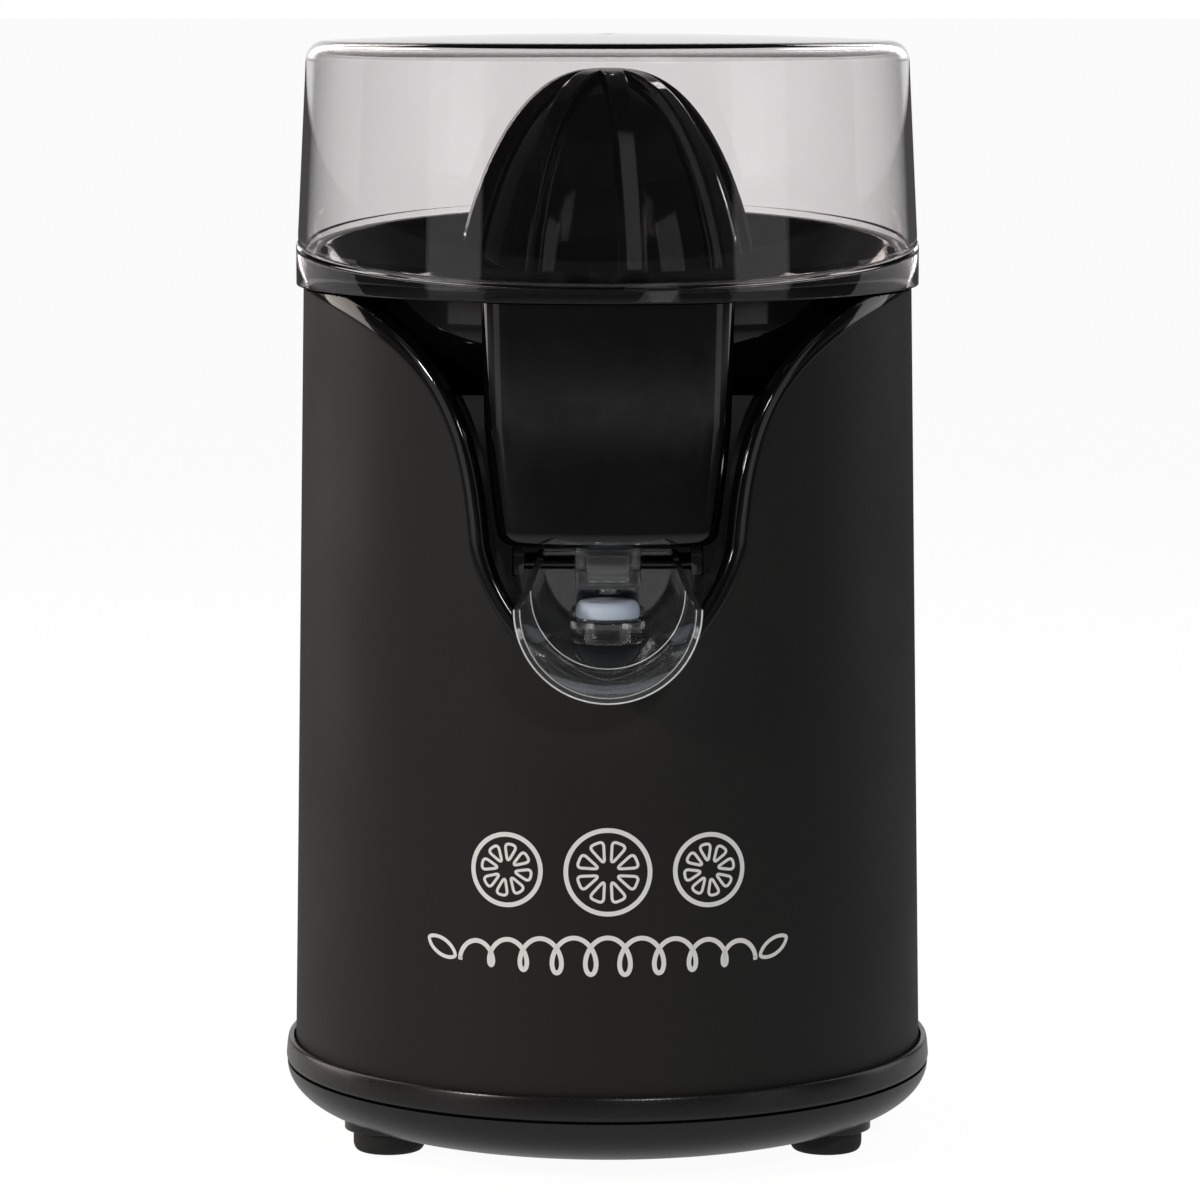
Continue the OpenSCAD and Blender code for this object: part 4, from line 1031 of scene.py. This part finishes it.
class JUICER_OT_stage(bpy.types.Operator):
    """Pale floor, soft lights, world and camera"""
    bl_idname = "juicer.stage"
    bl_label = "Stage"

    def execute(self, context):
        """A flat floor, rectangular lamps, a background by direction, and one camera."""
        self.floor()
        self.lights()
        self.world(context)
        self.camera(context)
        return {"FINISHED"}

    def floor(self):
        """A wide flat disc of points at table level."""
        angle = np.linspace(0, 2 * math.pi, 96, endpoint=False)
        rings = np.array([0.0, 0.4, 1.5, 6.0, 40.0])[:, None]
        points = np.stack([rings * np.cos(angle), rings * np.sin(angle), 0 * rings * angle], axis=2)
        points[..., 2] = -0.0002
        mesh = bpy.data.meshes.new("floor")
        mesh.from_pydata(points.reshape(-1, 3).tolist(), [], grid_faces(5, 96, wrap_columns=True).tolist())
        mesh.materials.append(self.paper())
        floor = bpy.data.objects.new("floor", mesh)
        bpy.context.scene.collection.objects.link(floor)

    def paper(self):
        """Matt white paper: seen as even white, lit as a pale diffuser, and dark in far reflections."""
        material, tree = blank_material("matt_paper_floor")
        place = add_node(tree, "ShaderNodeTexCoord").outputs["Object"]
        grain = add_node(tree, "ShaderNodeTexNoise", inputs={"Vector": place, "Scale": 250.0, "Detail": 2.0})
        tone = add_node(tree, "ShaderNodeMapRange", inputs={
            "Value": grain.outputs["Fac"], "To Min": 0.15, "To Max": 0.17}).outputs[0]
        distance = add_node(tree, "ShaderNodeVectorMath", {"operation": "LENGTH"}, {0: place}).outputs["Value"]
        reach = add_node(tree, "ShaderNodeMath", {"operation": "DIVIDE"}, {0: distance, 1: 4.0}).outputs[0]
        ramp = add_node(tree, "ShaderNodeValToRGB", inputs={"Fac": reach})
        stops = [(0.05, 0.42), (0.2, 0.015), (0.52, 0.0), (0.565, 0.45), (0.61, 0.45), (0.67, 0.07)]
        while len(ramp.color_ramp.elements) < len(stops):
            ramp.color_ramp.elements.new(0.5)
        for element, (position, glow) in zip(ramp.color_ramp.elements, stops):
            element.position = position
            element.color = (glow, glow, glow, 1.0)
        near = ramp.outputs["Color"]
        close = add_node(tree, "ShaderNodeMath", {"operation": "LESS_THAN"}, {0: reach, 1: 0.65}).outputs[0]
        seen = self.seen_directly(tree, close)
        strength = add_node(tree, "ShaderNodeMix", inputs={0: seen, 2: near, 3: 0.95}).outputs[0]
        glow = add_node(tree, "ShaderNodeEmission", inputs={"Color": (1, 1, 1, 1), "Strength": strength}).outputs[0]
        matt = add_node(tree, "ShaderNodeBsdfDiffuse", inputs={"Color": tone}).outputs[0]
        both = add_node(tree, "ShaderNodeAddShader", inputs={0: glow, 1: matt}).outputs[0]
        add_node(tree, "ShaderNodeOutputMaterial", inputs={"Surface": both})
        return material

    def seen_directly(self, tree, close=1.0):
        """1 for a ray that came from the camera straight or through clear walls, and less after each bounce.
        A bounced ray counts only where close is 1, so the lid's wall has no white haze."""
        path = add_node(tree, "ShaderNodeLightPath")
        seen = add_node(tree, "ShaderNodeMath", {"operation": "MAXIMUM"}, {
            0: path.outputs["Is Camera Ray"], 1: path.outputs["Is Transmission Ray"]}).outputs[0]
        bounces = add_node(tree, "ShaderNodeMath", {"operation": "ADD"}, {
            0: path.outputs["Glossy Depth"], 1: path.outputs["Diffuse Depth"]}).outputs[0]
        straight = add_node(tree, "ShaderNodeMath", {"operation": "LESS_THAN"}, {0: bounces, 1: 0.5}).outputs[0]
        one_wall = add_node(tree, "ShaderNodeMath", {"operation": "LESS_THAN"}, {
            0: path.outputs["Transmission Depth"], 1: 2.5}).outputs[0]
        inside = add_node(tree, "ShaderNodeMath", {"operation": "MULTIPLY_ADD"}, {
            0: one_wall, 1: 0.75, 2: 0.05}).outputs[0]
        inside = add_node(tree, "ShaderNodeMath", {"operation": "MULTIPLY"}, {0: inside, 1: close}).outputs[0]
        share = add_node(tree, "ShaderNodeMath", {"operation": "MAXIMUM"}, {0: straight, 1: inside}).outputs[0]
        return add_node(tree, "ShaderNodeMath", {"operation": "MULTIPLY"}, {0: seen, 1: share}).outputs[0]

    def lights(self):
        """Tall soft boxes left and right and one overhead shape the drum. Strips edge the chute, the reamer's
        ribs and the spout's lip, and two small lamps in front lift the print."""
        white, warm = (1.0, 1.0, 1.0), (1.0, 0.9, 0.83)
        sides = self.lit_pieces("all_but_lid", "EXCLUDE", "lid")
        spots = self.lit_pieces("all_but_lid_and_reamer", "EXCLUDE", "lid", "reamer")
        ribs = self.lit_pieces("reamer_through_lid", "INCLUDE", "reamer", "lid")
        lip = self.lit_pieces("spout_only", "INCLUDE", "spout")
        boxes = [
            ("left_box", (-0.95, 0.42, 0.4), (0.6, 1.5), 7.0, (0, 0, 0.14), warm, sides),
            ("right_box", (0.95, 0.42, 0.4), (0.5, 1.5), 2.6, (0, 0, 0.14), white, sides),
            ("left_strip", (-1.25, -0.8, 0.45), (0.6, 0.9), 0.8, (0, 0, 0.16), white, None),
            ("right_strip", (1.25, -0.8, 0.45), (0.6, 0.9), 0.8, (0, 0, 0.16), white, None),
            ("rib_strip", (0.45, -1.2, 1.15), (0.3, 1.6), 1.0, (0, 0, 0.25), white, ribs),
            ("rib_edge_left", (-0.47, 1.1, 0.75), (0.15, 0.9), 2.4, (0, 0, 0.25), warm, ribs),
            ("rib_edge_right", (0.47, 1.1, 0.75), (0.15, 0.9), 2.4, (0, 0, 0.25), white, ribs),
            ("lip_top", (0.0, -1.1, 1.3), (1.4, 0.5), 12.0, (0, -0.08, 0.13), white, lip),
            ("lip_left", (-1.2, -0.9, 0.25), (0.5, 0.9), 6.0, (0, -0.08, 0.13), white, lip),
            ("lip_right", (1.2, -0.9, 0.25), (0.5, 0.9), 6.0, (0, -0.08, 0.13), white, lip),
            ("top_box", (0.0, -0.05, 1.2), (0.6, 0.6), 0.8, (0, 0, 0.2), white, sides),
            ("left_spot", (-1.5, -1.3, 0.8), (0.22, 0.22), 15.0, (0, 0, 0.1), warm, spots),
            ("front_spot", (0.5, -1.9, 1.1), (0.22, 0.22), 9.0, (0, 0, 0.1), white, spots),
        ]
        for name, place, size, power, aim, colour, lit in boxes:
            light = bpy.data.lights.new(name, "AREA")
            light.shape = "RECTANGLE"
            light.size, light.size_y = size
            light.energy = power
            light.color = colour
            item = bpy.data.objects.new(name, light)
            item.location = place
            direction = np.array(aim, float) - np.array(place, float)
            item.rotation_euler = look_along(direction)
            bpy.context.scene.collection.objects.link(item)
            if lit:
                item.light_linking.receiver_collection = lit

    def lit_pieces(self, name, state, *starts):
        """A collection that lets a light fall on the pieces whose names start so, or on all but those."""
        lit = bpy.data.collections.new(name)
        for piece in [item for item in bpy.data.objects if item.name.startswith(starts)]:
            lit.objects.link(piece)
        for entry in lit.collection_objects:
            entry.light_linking.link_state = state
        return lit

    def world(self, context):
        """White all round for what is seen directly or through clear walls, dim grey for reflections."""
        world = bpy.data.worlds.new("studio")
        context.scene.world = world
        world.use_nodes = True
        tree = world.node_tree
        tree.nodes.clear()
        toward = add_node(tree, "ShaderNodeSeparateXYZ", inputs={
            0: add_node(tree, "ShaderNodeTexCoord").outputs["Generated"]}).outputs["Y"]
        screen = add_node(tree, "ShaderNodeMapRange", {"interpolation_type": "SMOOTHSTEP"}, {
            "Value": toward, "From Min": 0.8, "From Max": 0.96, "To Min": 0.035, "To Max": 0.9}).outputs[0]
        dim = add_node(tree, "ShaderNodeBackground", inputs={"Color": (1, 1, 1, 1), "Strength": screen})
        white = add_node(tree, "ShaderNodeBackground", inputs={"Color": (1, 1, 1, 1), "Strength": 1.0})
        behind = add_node(tree, "ShaderNodeMath", {"operation": "GREATER_THAN"}, {0: toward, 1: 0.3}).outputs[0]
        seen = self.seen_directly(tree, behind)
        mix = add_node(tree, "ShaderNodeMixShader", inputs={0: seen, 1: dim.outputs[0], 2: white.outputs[0]})
        add_node(tree, "ShaderNodeOutputWorld", inputs={"Surface": mix.outputs[0]})

    def camera(self, context):
        """A long lens at the height of the lid's top, turned down to the middle of the drum."""
        data = bpy.data.cameras.new("camera")
        data.sensor_width = 36.0
        data.lens = 152.9
        data.clip_end = 100.0
        camera = bpy.data.objects.new("camera", data)
        side, height, aim_height = -0.0019, 0.292, 0.1355
        distance = context.scene.juicer_sizes.camera_distance
        camera.location = (side, -distance, height)
        camera.rotation_euler = look_along((0.0, distance, aim_height - height))
        context.scene.collection.objects.link(camera)
        context.scene.camera = camera
        context.scene.view_settings.view_transform = "Standard"


def look_along(direction):
    """Rotation that points an object's -Z along a direction, with +Y up."""
    from mathutils import Vector
    return Vector(direction).to_track_quat("-Z", "Y").to_euler()


# Add-on parts

def hex_property(name, description, default):
    """A colour written as sRGB hex."""
    return StringProperty(name=name, description=description, default=default)


class JuicerColours(bpy.types.PropertyGroup):
    """Colours that a user would change, as sRGB hex"""
    drum: hex_property("Drum", "Powder coat of the drum", "#1A1918")
    gloss: hex_property("Gloss black", "Bowl, reamer, collar and alcove", "#08080A")
    base: hex_property("Base", "Base ring and pan", "#151414")
    lid: hex_property("Lid", "Tint of the smoked lid", "#FCFBFB")
    spout: hex_property("Spout", "Tint of the clear spout", "#FAFCFC")
    plug: hex_property("Plug", "Silicone of the drip plug", "#C2CEDF")
    rubber: hex_property("Rubber", "Feet and cord gland", "#121212")
    ink: hex_property("Ink", "Printed motif", "#F5F5F3")


class JuicerSizes(bpy.types.PropertyGroup):
    """Sizes that a user would change"""
    print_line: FloatProperty(name="Print line", description="Width of the printed lines",
                              default=1.15 * MM, unit="LENGTH")
    camera_distance: FloatProperty(name="Camera distance", description="Distance of the camera from the axis",
                                   default=1.290, unit="LENGTH")


PIECES = [JUICER_OT_drum, JUICER_OT_collar, JUICER_OT_alcove, JUICER_OT_base, JUICER_OT_bowl, JUICER_OT_nozzle,
          JUICER_OT_spout, JUICER_OT_plug, JUICER_OT_reamer, JUICER_OT_lid, JUICER_OT_motif,
          JUICER_OT_inner_works, JUICER_OT_stage]


class JUICER_PT_panel(bpy.types.Panel):
    """Lists the pieces of the juicer"""
    bl_idname = "JUICER_PT_panel"
    bl_label = "Citrus press juicer"
    bl_space_type = "VIEW_3D"
    bl_region_type = "UI"
    bl_category = "Juicer"

    def draw(self, context):
        for piece in PIECES:
            self.layout.operator(piece.bl_idname)
        for group in (context.scene.juicer_sizes, context.scene.juicer_colours):
            for key in group.__annotations__:
                self.layout.prop(group, key)


CLASSES = [JuicerColours, JuicerSizes, *PIECES, JUICER_PT_panel]


def register():
    for item in CLASSES:
        bpy.utils.register_class(item)
    bpy.types.Scene.juicer_colours = PointerProperty(type=JuicerColours)
    bpy.types.Scene.juicer_sizes = PointerProperty(type=JuicerSizes)


def unregister():
    del bpy.types.Scene.juicer_sizes
    del bpy.types.Scene.juicer_colours
    for item in reversed(CLASSES):
        bpy.utils.unregister_class(item)


def main():
    """Builds every piece in order."""
    register()
    for piece in PIECES:
        group, name = piece.bl_idname.split(".")
        getattr(getattr(bpy.ops, group), name)()


if __name__ == "__main__":
    main()
